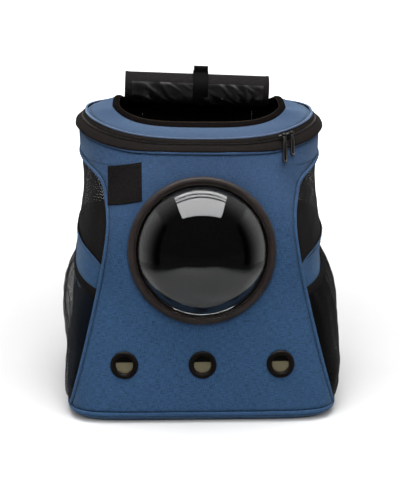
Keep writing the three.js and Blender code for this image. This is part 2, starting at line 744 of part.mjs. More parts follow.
function sliderBody() {
  const { length, width, height, bar, post } = slider;
  const body = new THREE.BoxGeometry(length, width, height).translate(0, 0, height / 2);
  const barRod = new THREE.CylinderGeometry(bar, bar, length - 0.4, 10).rotateZ(Math.PI / 2);
  let solid = toSolid(body).add(toSolid(barRod.translate(0, 0, barHeight)));
  for (const end of [-1, 1]) {
    const leg = new THREE.BoxGeometry(post, 3, barHeight + bar);
    leg.translate((end * (length - post)) / 2, 0, (barHeight + bar) / 2);
    solid = solid.add(toSolid(leg));
  }
  return fromSolid(solid);
}

function pullPlate(length) {
  const { width, thickness, knuckle, bore, crank, eye, taper } = pullDims;
  const [half, top] = [width / 2, -bore];
  const profile = [[bore, -half], [knuckle, -half], [knuckle, half], [bore, half], [bore, -half]];
  const ring = turned(profile, 12).rotateY(Math.PI / 2);
  const outline = new THREE.Shape();
  outline.moveTo(-half * taper, top);
  outline.lineTo(-half, -length + half);
  outline.absarc(0, -length + half, half, Math.PI, 2 * Math.PI, false);
  outline.lineTo(half * taper, top);
  outline.closePath();
  const hole = new THREE.Path();
  hole.absarc(0, -length + half, eye, 0, 2 * Math.PI, true);
  outline.holes.push(hole);
  const options = { depth: thickness, bevelEnabled: false, curveSegments: 6 };
  const plate = new THREE.ExtrudeGeometry(outline, options);
  plate.translate(0, 0, crank - thickness / 2).rotateX(Math.PI / 2);
  return fromSolid(toSolid(ring).add(toSolid(plate)));
}

for (const { name, x, pull } of sliders) {
  const share = 0.5;
  const turn = turnAtX(shoulderSection(share), x);
  const normal = skinNormal(shoulderSkin, turn, share);
  const tangent = shoulderSkin(turn + nudge, share).sub(shoulderSkin(turn - nudge, share)).normalize();
  const upSlope = normal.clone().cross(tangent);
  const group = new THREE.Group();
  group.position.copy(shoulderSkin(turn, share)).addScaledVector(normal, zip.coilRise + gap);
  group.setRotationFromMatrix(new THREE.Matrix4().makeBasis(tangent, upSlope, normal));
  carrier.add(group);
  addPiece(`zip_slider_${name}`, sliderBody(), darkMetal, group);
  const outward = tangent.clone().cross(vec(0, 0, 1)).normalize();
  const tilt = degToRad(pullDims.tilt);
  const upright = outward.clone().cross(tangent).multiplyScalar(Math.cos(tilt));
  upright.addScaledVector(outward, -Math.sin(tilt)).normalize();
  const pullGroup = new THREE.Group();
  pullGroup.position.copy(group.position).addScaledVector(normal, barHeight);
  const facing = upright.clone().cross(tangent);
  pullGroup.setRotationFromMatrix(new THREE.Matrix4().makeBasis(tangent, facing, upright));
  carrier.add(pullGroup);
  addPiece(`zip_pull_${name}`, pullPlate(pull), darkMetal, pullGroup);
}

// Carrying straps on the back: padded strap, plain buckle and lower webbing
function backPoint(side, { x, z, out }) {
  const turn = onSide(side, turnAtX(sectionAt(z), x, 'back'));
  return bodySkin(turn, z).add(vec(0, out, 0));
}

function strapAlong(side, route, steps, section) {
  const curve = new THREE.CatmullRomCurve3(route.map((row) => backPoint(side, row)));
  const points = curve.getSpacedPoints(steps);
  return sweep(framesAlong(points, () => vec(0, 1, 0)), section);
}

for (const [name, side] of [['left', -1], ['right', 1]]) {
  const { width, thickness, webbing, webbingThickness, buckleWidth, buckleThickness } = carryStrap;
  const padded = strapAlong(side, strapRoute, 14, strapSection(width, thickness, 4));
  addPiece(`shoulder_strap_${name}`, padded, blackCloth);
  const web = strapAlong(side, webbingRoute, 5, strapSection(webbing, webbingThickness, 0.6));
  addPiece(`strap_webbing_${name}`, web, blackCloth);
  const plate = strapAlong(side, buckleRoute, 2, strapSection(buckleWidth, buckleThickness, 2));
  addPiece(`strap_buckle_${name}`, plate, blackPlastic);
}

// The origin is the middle of the base, under the middle of the whole.
carrier.updateMatrixWorld(true);
const bounds = new THREE.Box3().setFromObject(carrier, true);
carrier.position.set(-(bounds.min.x + bounds.max.x) / 2, -(bounds.min.y + bounds.max.y) / 2, -bounds.min.z);

export default carrier;
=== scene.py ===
"""Soft pet carrier backpack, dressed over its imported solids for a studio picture."""
import functools
import math

import bmesh
import bpy
import numpy as np
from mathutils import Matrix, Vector
from mathutils.kdtree import KDTree


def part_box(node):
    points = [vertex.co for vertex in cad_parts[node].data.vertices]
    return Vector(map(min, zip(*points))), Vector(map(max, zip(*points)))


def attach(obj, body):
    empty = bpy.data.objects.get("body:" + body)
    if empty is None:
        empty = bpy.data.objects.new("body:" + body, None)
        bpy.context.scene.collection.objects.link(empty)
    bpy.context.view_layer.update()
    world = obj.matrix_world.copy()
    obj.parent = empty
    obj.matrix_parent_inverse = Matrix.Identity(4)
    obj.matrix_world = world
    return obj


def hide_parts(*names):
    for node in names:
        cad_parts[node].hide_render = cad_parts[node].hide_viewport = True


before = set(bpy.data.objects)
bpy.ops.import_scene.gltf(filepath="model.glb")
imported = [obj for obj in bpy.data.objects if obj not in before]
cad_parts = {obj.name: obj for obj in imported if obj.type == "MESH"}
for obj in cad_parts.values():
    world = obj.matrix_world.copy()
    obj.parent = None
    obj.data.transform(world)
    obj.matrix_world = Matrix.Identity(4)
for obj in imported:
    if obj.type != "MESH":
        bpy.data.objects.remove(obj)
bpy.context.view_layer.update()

bl_info = {
    "name": "Pet Carrier Backpack",
    "version": (1, 0, 0),
    "blender": (4, 5, 0),
    "location": "3D View > Sidebar > Carrier",
    "description": "Builds the cloth, mesh, window and fittings of a soft pet carrier",
    "category": "Object",
}

# Shapes are worked out in millimetres, in the frame of the plan tables below.
MM = 0.001
TAU = 2 * math.pi
BASE_MIDDLE = -8.0
base_low, base_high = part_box("base_panel")
ORIGIN = np.array([
    (base_low[0] + base_high[0]) / 2,
    (base_low[1] + base_high[1]) / 2 - BASE_MIDDLE * MM,
    0.0,
])

# Height, half width, front, middle, back and squareness of the body's plan.
BODY = np.array([
    [12, 174, 149, 0, 133, 7.5],
    [40, 176, 144.5, 0, 134, 7.0],
    [120, 170, 130, 5, 134, 5.0],
    [215, 162.5, 112, 18, 132, 3.7],
    [290, 155.5, 98, 32, 129, 3.1],
    [341, 159, 89, 40, 127, 2.7],
])
REAR_SQUARE = 4.8
# The same columns at the lower and the upper edge of the slanted shoulder.
SHOULDER = np.array([
    [344.5, 161.5, 89, 40, 127, 2.65],
    [358, 146.5, 76, 42, 116, 2.55],
])
# Height and half width of the front panel's piped edge.
FRONT_EDGE = np.array([
    [12, 171.5], [90, 151], [168, 132.5], [218, 123], [250, 119.5], [280, 122], [303, 130], [321, 158],
])
SEAM, COLLAR, TOP = 12.0, 321.0, 341.0
LEAN, LEAN_START = 0.012, 150.0
CLIMB, CLIMB_FRONT, CLIMB_REACH = 13.5, 80.0, 86.0
BACK_EDGE = math.radians(48)
ZIP_END = math.radians(52)
WINDOW_HEIGHT, WINDOW_FLAT, WINDOW_BLEND = 219.3, 98.0, 140.0
WINDOW_HOLE, VENT_HOLE = 91.3, 13.9
VENT_HEIGHT, VENT_SPACING = 75.0, 100.0
SIDES = (("left", -1), ("right", 1))
# Steps of a turn, a height and a share, for finding which way a skin faces.
TURN_STEP, HEIGHT_STEP, SHARE_STEP = 1e-3, 0.5, 0.01
# Distances between points along the seams of the front and along round cords.
SEAM_STEP, CORD_STEP = 2.0, 2.5
# How far from a seam its cloth dips, and how much it puckers.
SEAM_REACH, SEAM_PUCKER = 3.2, 0.3


def unit(v):
    return v / np.linalg.norm(v, axis=-1, keepdims=True)


def lerp(a, b, t):
    return a + (b - a) * t


def smooth(x, low, high):
    t = np.clip((x - low) / (high - low), 0, 1)
    return t * t * (3 - 2 * t)


def column(table, k, z):
    """A table's column at given heights, on a smooth curve through its rows."""
    height, value = table[:, 0], table[:, k]
    last = len(height) - 1
    row = np.arange(len(height))
    before, after = np.maximum(row - 1, 0), np.minimum(row + 1, last)
    slope = (value[after] - value[before]) / (height[after] - height[before])
    i = np.searchsorted(height[1:-1], z, side="left")
    span = height[i + 1] - height[i]
    t = np.clip((z - height[i]) / span, 0, 1)
    ends = value[i] * (2 * t**3 - 3 * t**2 + 1) + value[i + 1] * (3 * t**2 - 2 * t**3)
    return ends + span * (slope[i] * (t**3 - 2 * t**2 + t) + slope[i + 1] * (t**3 - t**2))


def settle(points):
    """The soft top climbs behind the front and sinks a little to the right."""
    x, y, z = np.moveaxis(points.copy(), -1, 0)
    share = np.clip((y + CLIMB_FRONT) / CLIMB_REACH, 0, 1)
    climb = CLIMB * np.sin(np.pi / 2 * share) * smooth(z, COLLAR, TOP)
    points[..., 2] += climb - LEAN * x * smooth(z, LEAN_START, TOP)
    return points


def plan(half, front, middle, back, square, turn):
    """Plan section by the turn about its middle: -90 degrees is the front, 0 the right side."""
    c, s = np.cos(turn), np.sin(turn)
    depth = np.where(s < 0, front + middle, back - middle)
    reach = (np.abs(c / half) ** square + np.abs(s / depth) ** square) ** (-1 / square)
    return reach * c, middle + reach * s


def body(turn, z):
    """The body's outer skin, flat where the window's ring sits."""
    turn, z = np.broadcast_arrays(np.asarray(turn, float), np.asarray(z, float))
    half, front, middle, back, square = (column(BODY, k, z) for k in range(1, 6))
    square = np.where(np.sin(turn) < 0, square, np.minimum(square, REAR_SQUARE))
    x, y = plan(half, front, middle, back, square, turn)
    flat = 1 - smooth(np.hypot(x, z - WINDOW_HEIGHT), WINDOW_FLAT, WINDOW_BLEND)
    y = np.where(np.sin(turn) < 0, lerp(y, -front, flat), y)
    return settle(np.stack([x, y, z], -1))


def shoulder(turn, share):
    """The slanted shoulder, by shares of its slope."""
    turn, share = np.broadcast_arrays(np.asarray(turn, float), np.asarray(share, float))
    z, half, front, middle, back, square = (lerp(SHOULDER[0, k], SHOULDER[1, k], share) for k in range(6))
    x, y = plan(half, front, middle, back, square, turn)
    return settle(np.stack([x, y, z], -1))


def normals(skin, u, v, dv):
    """Which way a skin faces, from small steps along it."""
    along = skin(u + TURN_STEP, v) - skin(u - TURN_STEP, v)
    up = skin(u, v + dv) - skin(u, v - dv)
    return unit(np.cross(along, up))


def body_normal(turn, z):
    return normals(body, turn, z, HEIGHT_STEP)


def shoulder_normal(turn, share):
    return normals(shoulder, turn, share, SHARE_STEP)


def body_out(turn, z, out):
    return body(turn, z) + body_normal(turn, z) * np.asarray(out)[..., None]


def shoulder_out(turn, share, out):
    return shoulder(turn, share) + shoulder_normal(turn, share) * np.asarray(out)[..., None]


def turn_at(x, row, rear=False):
    """The turn at which a plan section has the half width x, on its front or its back."""
    half, front, middle, back, square = row
    depth = back - middle if rear else -(front + middle)
    square = np.minimum(square, REAR_SQUARE) if rear else square
    return np.arctan2(depth * (1 - np.minimum(x / half, 1) ** square) ** (1 / square), x)


def body_row(z):
    """The columns of the body's plan at given heights."""
    return [column(BODY, k, z) for k in range(1, 6)]


def edge_turn(z):
    """The turn of the front panel's piped edge, which meets the side at the collar."""
    z = np.asarray(z, float)
    return np.where(z < COLLAR, turn_at(column(FRONT_EDGE, 1, z), body_row(z)), 0.0)


def on_side(side, turn):
    """A turn that is given for the right side, on either side."""
    return turn if side > 0 else np.pi - turn


def distances(points):
    """How far along a path each of its points lies."""
    return np.concatenate([[0], np.cumsum(np.linalg.norm(np.diff(points, axis=0), axis=1))])


def resample(points, step, *columns):
    """Columns of values along a path, read again at even distances."""
    length = distances(points)
    places = np.linspace(0, length[-1], max(2, int(round(length[-1] / step)) + 1))
    return [np.interp(places, length, values) for values in columns]


def loop_turns(skin, step, count=2001):
    """Turns at even distances round a closed line, which skin gives by the turn."""
    turns = np.linspace(0, TAU, count)
    return resample(skin(turns), step, turns)[0][:-1]


def soft_waves(points, size, seed):
    """Gentle unevenness, mostly from -1 to 1, about size millimetres from crest to crest."""
    rng = np.random.default_rng(seed)
    total = np.zeros(points.shape[:-1])
    for _ in range(7):
        direction = unit(rng.normal(size=3)) * 2 * np.pi / (size * rng.uniform(0.6, 1.5))
        total += np.sin(points @ direction + rng.uniform(0, 2 * np.pi))
    return total / 4


# Seams: turns and heights along each line where panels are sewn together.
def front_seam(side):
    heights = np.concatenate([np.linspace(SEAM, 290, 300), np.linspace(290, COLLAR, 300)[1:]])
    turns = edge_turn(heights)
    rest = np.linspace(0, BACK_EDGE, 80)[1:]
    turns = np.concatenate([turns, rest])
    heights = np.concatenate([heights, np.full(len(rest), COLLAR)])
    turns, heights = resample(body(turns, heights), SEAM_STEP, turns, heights)
    return on_side(side, turns), heights


def level_seam(height):
    turns = loop_turns(lambda turn: body(turn, height), CORD_STEP)
    return turns, np.full(len(turns), height)


def back_seam(side):
    heights = np.linspace(SEAM, TOP, 160)
    return np.full_like(heights, on_side(side, BACK_EDGE)), heights


class SeamMap:
    """Finds how far a point of the cloth is from the nearest seam, and how far along that seam."""

    def __init__(self):
        lines = [
            front_seam(1), front_seam(-1), level_seam(SEAM), level_seam(TOP), back_seam(1), back_seam(-1),
        ]
        paths = [body(turns, heights) for turns, heights in lines]
        self.lengths = np.concatenate([distances(path) for path in paths])
        self.tree = KDTree(len(self.lengths))
        for i, point in enumerate(np.concatenate(paths)):
            self.tree.insert(point, i)
        self.tree.balance()

    def read(self, points):
        flat = points.reshape(-1, 3)
        found = [self.tree.find(point)[1:] for point in flat]
        index = np.array([i for i, _ in found])
        away = np.array([d for _, d in found])
        return away.reshape(points.shape[:-1]), self.lengths[index].reshape(points.shape[:-1])


@functools.cache
def seam_map():
    return SeamMap()


def sewn(points, normal, depth=1.4):
    """Cloth that dips into its seams and puckers beside them, and how much painted shade it has beside the
    seam.
    """
    away, along = seam_map().read(points)
    waves = np.sin(along / 2.3 + 1.6 * np.sin(along / 13)) * np.exp(-away / 8)
    dip = -depth * np.exp(-((away / SEAM_REACH) ** 2)) + SEAM_PUCKER * waves
    return points + normal * dip[..., None], np.exp(-((np.maximum(away - 1.6, 0) / 1.9) ** 2))


class Shape:
    """Points, faces and cloth coordinates of a piece, gathered in millimetres."""

    def __init__(self):
        self.points, self.faces, self.cloth, self.kinds, self.shades = [], [], [], [], []
        self.count = 0

    def grid(self, points, cloth=None, round_rows=False, round_columns=False, keep=None, kind=0, seam=0.0):
        """Quads over points[row, column], facing along columns x rows. keep and kind are by face; seam is
        painted shade by point.
        """
        rows, columns = points.shape[:2]
        if cloth is None:
            cloth = cloth_of(points, round_rows, round_columns)
        i = np.arange(rows if round_rows else rows - 1)[:, None]
        j = np.arange(columns if round_columns else columns - 1)[None, :]
        corners = [(i, j), (i, j + 1), (i + 1, j + 1), (i + 1, j)]
        faces = np.stack([(a % rows) * columns + b % columns for a, b in corners], -1).reshape(-1, 4)
        places = np.stack([cloth[a, b] for a, b in corners], -2).reshape(-1, 4, 2)
        kinds = np.broadcast_to(np.asarray(kind), (len(i), j.shape[1])).reshape(-1)
        if keep is not None:
            keep = keep.reshape(-1)
            faces, places, kinds = faces[keep], places[keep], kinds[keep]
        self.faces.extend((faces + self.count).tolist())
        self.cloth.append(places.reshape(-1, 2))
        self.kinds.extend(kinds.tolist())
        self.points.append(points.reshape(-1, 3))
        self.shades.append(np.broadcast_to(seam, (rows, columns)).ravel())
        self.count += rows * columns
        return self

    def cap(self, ring):
        """One face over a ring of points, facing so that the ring runs anticlockwise."""
        self.faces.append((np.arange(len(ring)) + self.count).tolist())
        self.cloth.append(np.asarray(ring)[:, :2] * MM)
        self.kinds.append(0)
        self.points.append(np.asarray(ring))
        self.shades.append(np.zeros(len(ring)))
        self.count += len(ring)

    def sweep(self, path, outs, profile, round_path=False, lined=False):
        """A closed profile of (out, side), anticlockwise, carried along a path.

        outs is one direction or one for each point. If lined, the back of the profile is of kind 1.
        """
        ahead = np.roll(path, -1, 0) - np.roll(path, 1, 0)
        if not round_path:
            ahead[0], ahead[-1] = path[1] - path[0], path[-1] - path[-2]
        tangent = unit(ahead)
        side = unit(np.cross(tangent, outs))
        out = np.cross(side, tangent)
        profile = np.asarray(profile, float)
        if profile.ndim == 2:
            profile = np.broadcast_to(profile, (len(path),) + profile.shape)
        points = path[:, None] + out[:, None] * profile[..., :1] + side[:, None] * profile[..., 1:]
        back = lined & ((profile + np.roll(profile, -1, 1))[..., 0] < -0.5)
        kind = (back if round_path else back[:-1]).astype(int)
        self.grid(points, round_rows=round_path, round_columns=True, kind=kind)
        if not round_path:
            self.cap(points[0])
            self.cap(points[-1][::-1])
        return self

    def lathe(self, profile, centre, axes, steps):
        """A closed profile of (radius, height), up the outside first, turned about an axis."""
        return self.grid(turned(profile, centre, axes, steps), round_rows=True, round_columns=True)

    def piece(self, name, *looks, weld=0.002):
        """Makes the object, with points closer than weld joined."""
        mesh = bpy.data.meshes.new(name)
        points = np.concatenate(self.points) * MM + ORIGIN
        mesh.from_pydata(points.tolist(), [], self.faces)
        layer = mesh.uv_layers.new(name="cloth")
        layer.data.foreach_set("uv", np.concatenate(self.cloth).astype(np.float32).ravel())
        # The seam attribute carries painted shade: the cloth's colour is darkened by it.
        mesh.attributes.new("seam", "FLOAT", "POINT").data.foreach_set("value", np.concatenate(self.shades))
        mesh.polygons.foreach_set("material_index", self.kinds)
        for look in looks:
            mesh.materials.append(look)
        work = bmesh.new()
        work.from_mesh(mesh)
        bmesh.ops.remove_doubles(work, verts=work.verts, dist=weld * MM)
        loose = [v for v in work.verts if not v.link_faces]
        bmesh.ops.delete(work, geom=loose, context="VERTS")
        work.to_mesh(mesh)
        work.free()
        mesh.polygons.foreach_set("use_smooth", [True] * len(mesh.polygons))
        mesh.update()
        obj = bpy.data.objects.new(name, mesh)
        bpy.context.scene.collection.objects.link(obj)
        return obj


def cloth_of(points, round_rows=False, round_columns=False):
    """Cloth coordinates in metres: across a row and up its middle column."""
    if round_columns:
        points = np.concatenate([points, points[:, :1]], 1)
    if round_rows:
        points = np.concatenate([points, points[:1]], 0)
    middle = points.shape[1] // 2
    across = np.linalg.norm(np.diff(points, axis=1), axis=2)
    across = np.concatenate([np.zeros((len(points), 1)), np.cumsum(across, 1)], 1)
    across -= across[:, middle:middle + 1]
    up = distances(points[:, middle])
    return np.stack([across, np.broadcast_to(up[:, None], across.shape)], -1) * MM


def turned(profile, centre, axes, steps):
    """Rows of points: a profile of (radius, height) turned about the last axis."""
    ex, ey, en = axes
    profile = np.asarray(profile, float)
    angle = np.arange(steps) * TAU / steps
    round_it = np.cos(angle)[:, None] * ex + np.sin(angle)[:, None] * ey
    return centre + profile[:, None, :1] * round_it[None] + profile[:, None, 1:] * en


def disc(radius, steps):
    angle = np.arange(steps) * TAU / steps
    return radius * np.stack([np.cos(angle), np.sin(angle)], -1)


def rounded(corners, radius, steps=4, closed=True):
    """A polygon whose corners are rounded."""
    corners = np.asarray(corners, float)
    count = len(corners)
    result = []
    for i, corner in enumerate(corners):
        if not closed and i in (0, count - 1):
            result.append(corner)
            continue
        before, after = corners[i - 1] - corner, corners[(i + 1) % count] - corner
        cut_before = min(radius, np.linalg.norm(before) * 0.45)
        cut_after = min(radius, np.linalg.norm(after) * 0.45)
        start, stop = corner + unit(before) * cut_before, corner + unit(after) * cut_after
        for t in np.linspace(0, 1, steps + 1):
            result.append((1 - t) ** 2 * start + 2 * t * (1 - t) * corner + t * t * stop)
    return np.array(result)


def band_profile(width, thickness, steps=6):
    """A flat strap's section (out, side), anticlockwise, with round edges."""
    w, t = width / 2, thickness / 2
    return rounded([[t, w], [-t, w], [-t, -w], [t, -w]], t * 0.9, steps)


def thicken(obj, thickness, lining=0):
    """Gives cloth its thickness inward. lining is 1 where its inside has a second look."""
    wall = obj.modifiers.new("wall", "SOLIDIFY")
    wall.thickness = thickness * MM
    wall.offset = -1
    wall.material_offset = wall.material_offset_rim = lining


def place(obj, slot, *nodes, rides="carrier"):
    """Puts a piece on the body that it rides on, and hides the nodes that it stands for. slot is not used."""
    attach(obj, rides)
    if nodes:
        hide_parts(*nodes)
    return obj


def lined(shape, name, looks, wall, *nodes, cloth="cloth", weld=0.002):
    """A piece of blue cloth with lining on its inside."""
    obj = shape.piece(name, looks[cloth], looks["lining"], weld=weld)
    thicken(obj, wall, 1)
    place(obj, "blue_cloth", *nodes)


def single(shape, name, look, wall, slot, *nodes):
    """A piece of one cloth or mesh."""
    obj = shape.piece(name, look)
    thicken(obj, wall)
    place(obj, slot, *nodes)


# Materials
class Value:
    """A shader socket that takes part in Python sums."""

    def __init__(self, look, socket):
        self.look, self.socket = look, socket

    def __add__(self, other):
        return self.look.math("ADD", self, other)

    __radd__ = __add__

    def __sub__(self, other):
        return self.look.math("SUBTRACT", self, other)

    def __rsub__(self, other):
        return self.look.math("SUBTRACT", other, self)

    def __mul__(self, other):
        return self.look.math("MULTIPLY", self, other)

    __rmul__ = __mul__

    def __pow__(self, other):
        return self.look.math("POWER", self, other)

    def sine(self):
        return self.look.math("SINE", self)

    def step(self, low, high):
        """0 below low and 1 above high, smooth between."""
        return self.look.node(
            "ShaderNodeMapRange", {"interpolation_type": "SMOOTHSTEP"},
            {"Value": self, "From Min": low, "From Max": high},
        )


class Nodes:
    """A shader tree and the nodes that are added to it."""

    def __init__(self, tree):
        self.tree = tree

    def node(self, kind, settings=None, sockets=None, output=0):
        node = self.tree.nodes.new(kind)
        for key, value in (settings or {}).items():
            setattr(node, key, value)
        for key, value in (sockets or {}).items():
            self.feed(node.inputs[key], value)
        return Value(self, node.outputs[output])

    def feed(self, socket, value):
        if isinstance(value, Value):
            self.tree.links.new(value.socket, socket)
        else:
            socket.default_value = value

    def math(self, operation, *values):
        return self.node("ShaderNodeMath", {"operation": operation}, dict(enumerate(values)))

    def cloth(self):
        """The cloth coordinates in metres."""
        return self.node("ShaderNodeUVMap", {"uv_map": "cloth"})

    def place(self):
        """The place in the piece's own coordinates, in metres."""
        return self.node("ShaderNodeTexCoord", None, None, 3)

    def split(self, vector):
        node = self.node("ShaderNodeSeparateXYZ", None, {0: vector}).socket.node
        return [Value(self, socket) for socket in node.outputs]

    def noise(self, vector, scale, detail, roughness):
        stretched = self.node("ShaderNodeMapping", None, {"Vector": vector, "Scale": scale})
        sockets = {"Vector": stretched, "Scale": 1.0, "Detail": detail, "Roughness": roughness}
        return self.node("ShaderNodeTexNoise", None, sockets)

    def mix(self, share, a, b):
        return self.node("ShaderNodeMix", {"data_type": "RGBA"}, {0: share, 6: a, 7: b}, 2)


class Look(Nodes):
    """A material with one main shader."""

    def __init__(self, name, **fixed):
        self.material = bpy.data.materials.new(name)
        self.material.use_nodes = True
        super().__init__(self.material.node_tree)
        self.shader = self.tree.nodes["Principled BSDF"]
        for key, value in fixed.items():
            self.shader.inputs[key.replace("_", " ")].default_value = value

    def feed(self, socket, value):
        super().feed(self.shader.inputs[socket] if isinstance(socket, str) else socket, value)

    def bump(self, height, distance, strength):
        sockets = {"Height": height, "Distance": distance, "Strength": strength}
        self.feed("Normal", self.node("ShaderNodeBump", None, sockets))


def shade(color, factor):
    return tuple(min(1.0, c * factor) for c in color[:3]) + (1.0,)


def threads(u, v, pitch, stretch=1.0):
    """A check of crossing threads, from -1 to 1, at a pitch in metres."""
    return (u * (TAU / pitch)).sine() * (v * (TAU / pitch * stretch)).sine()


def heathered(name, color, weave, streak=1.0, sheen=0.24):
    """Woven cloth of two yarns: light and dark slubs along both threads, and a plain weave."""
    look = Look(
        name, Sheen_Weight=sheen, Sheen_Roughness=0.4, Sheen_Tint=(0.5, 0.72, 1, 1), Specular_IOR_Level=0.15,
    )
    cloth = look.cloth()
    u, v = look.split(cloth)[:2]
    weft = look.noise(cloth, (130, 1300, 1), 3.0, 0.65)
    warp = look.noise(cloth, (1300, 150, 1), 3.0, 0.65)
    worn = look.noise(cloth, (9, 7, 1), 2.0, 0.5)
    yarn = 0.5 + streak * ((weft - 0.5) * 1.45 + (warp - 0.5) * 1.15) + (worn - 0.5) * 0.2
    # Painted shade: where the seam attribute is high the colour is mixed towards a deep shade of the cloth,
    # beside seams, under the base and behind the pockets.
    seam = look.node("ShaderNodeAttribute", {"attribute_name": "seam"}, None, 2)
    woven = look.mix(yarn.step(0.0, 1.0), shade(color, 0.5), shade(color, 1.5))
    # Painted haze: from 0.2 m up the colour is mixed a little towards a pale grey-blue, for light falling
    # from above.
    high = look.split(look.place())[2]
    woven = look.mix(high.step(0.2, 0.325) * 0.055, woven, (0.26, 0.26, 0.38, 1))
    look.feed("Base Color", look.mix(seam * 0.85, woven, shade(color, 0.14)))
    look.feed("Roughness", 0.74 + 0.2 * weft)
    look.bump(threads(u, v, weave) * 0.35 + weft * 0.5 + warp * 0.5, 0.0005, 0.7)
    return look.material


def ribbed(name, color, pitch, gloss=0.62, shine=0.1):
    """Narrow woven tape with ribs across it."""
    look = Look(name, Specular_IOR_Level=shine)
    cloth = look.cloth()
    u, v = look.split(cloth)[:2]
    rib = (v * (TAU / pitch)).sine() * 0.5 + (u * (TAU / (pitch * 0.8))).sine() * 0.3
    fuzz = look.noise(cloth, (260, 260, 1), 4.0, 0.6)
    look.feed("Base Color", look.mix(fuzz.step(0.3, 0.75), shade(color, 0.7), shade(color, 1.7)))
    look.feed("Roughness", gloss + 0.22 * fuzz)
    look.bump(rib * 0.4 + fuzz * 0.6, 0.0004, 0.6)
    return look.material


def knitted(name, color, pitch, cover, gloss):
    """Open knit with round holes in staggered rows. cover from 0 to 1 is how much thread there is."""
    look = Look(name, Specular_IOR_Level=0.12)
    cloth = look.cloth()
    u, v = look.split(cloth)[:2]
    cell = threads(u, v, pitch, 0.85)
    hole = cell * cell
    fibre = look.noise(cloth, (700, 700, 1), 2.0, 0.5)
    look.feed("Base Color", look.mix(fibre.step(0.25, 0.8), shade(color, 0.6), shade(color, 2.2)))
    look.feed("Roughness", gloss + 0.25 * fibre)
    look.feed("Alpha", 1 - hole.step(cover * 0.6, cover * 1.4))
    look.bump(hole * -0.5 + fibre * 0.3, 0.0004, 0.7)
    return look.material


def creased(name, color, pitch):
    """Close shiny knit, whose creases catch the light."""
    look = Look(name, Specular_IOR_Level=0.6)
    cloth = look.cloth()
    u, v = look.split(cloth)[:2]
    cell = threads(u, v, pitch)
    fibre = look.noise(cloth, (500, 500, 1), 3.0, 0.6)
    look.feed("Base Color", look.mix(cell.step(-0.2, 0.5), shade(color, 0.9), shade(color, 0.2)))
    look.feed("Roughness", 0.26 + 0.2 * fibre)
    look.bump(cell * 0.35 + fibre * 0.5, 0.0004, 0.6)
    return look.material


def vent_knit(name, color, dark, edge, pitch=0.0011):
    """Close olive knit, with a painted shadow of the ring's lip: dark above a straight edge."""
    look = Look(name, Specular_IOR_Level=0.2, Roughness=0.8)
    u, v = look.split(look.cloth())[:2]
    cell = threads(u, v, pitch)
    olive = look.mix(cell.step(-0.6, 0.6), shade(color, 1.15), shade(color, 0.7))
    look.feed("Base Color", look.mix(v.step(edge - 0.0003, edge + 0.0003), olive, dark))
    look.bump(cell, -0.0003, 0.5)
    return look.material


def moulded(name, color, gloss, shine=0.5):
    """Moulded plastic with a faint grain and handling marks."""
    look = Look(name, Specular_IOR_Level=shine)
    where = look.place()
    grain = look.noise(where, (1400, 1400, 1400), 2.0, 0.5)
    marks = look.noise(where, (60, 60, 60), 4.0, 0.65)
    look.feed("Base Color", look.mix(marks.step(0.3, 0.8), shade(color, 0.8), shade(color, 1.35)))
    look.feed("Roughness", gloss + 0.16 * marks)
    look.bump(grain, 0.00012, 0.35)
    return look.material


def clear_bubble(name):
    """Clear acrylic with faint smudges."""
    look = Look(name, Base_Color=(0.93, 0.95, 0.96, 1), Transmission_Weight=1.0, IOR=1.49)
    smudge = look.noise(look.place(), (22, 22, 22), 4.0, 0.6)
    look.feed("Roughness", 0.008 + 0.03 * smudge.step(0.45, 0.85))
    return look.material


def plated(name, color, gloss):
    """Dark plated metal with fine wear."""
    look = Look(name, Metallic=0.9)
    where = look.place()
    wear = look.noise(where, (420, 420, 420), 4.0, 0.6)
    look.feed("Base Color", look.mix(wear.step(0.55, 0.8), shade(color, 0.8), shade(color, 2.6)))
    look.feed("Roughness", gloss + 0.25 * wear)
    look.bump(wear, 0.0001, 0.3)
    return look.material


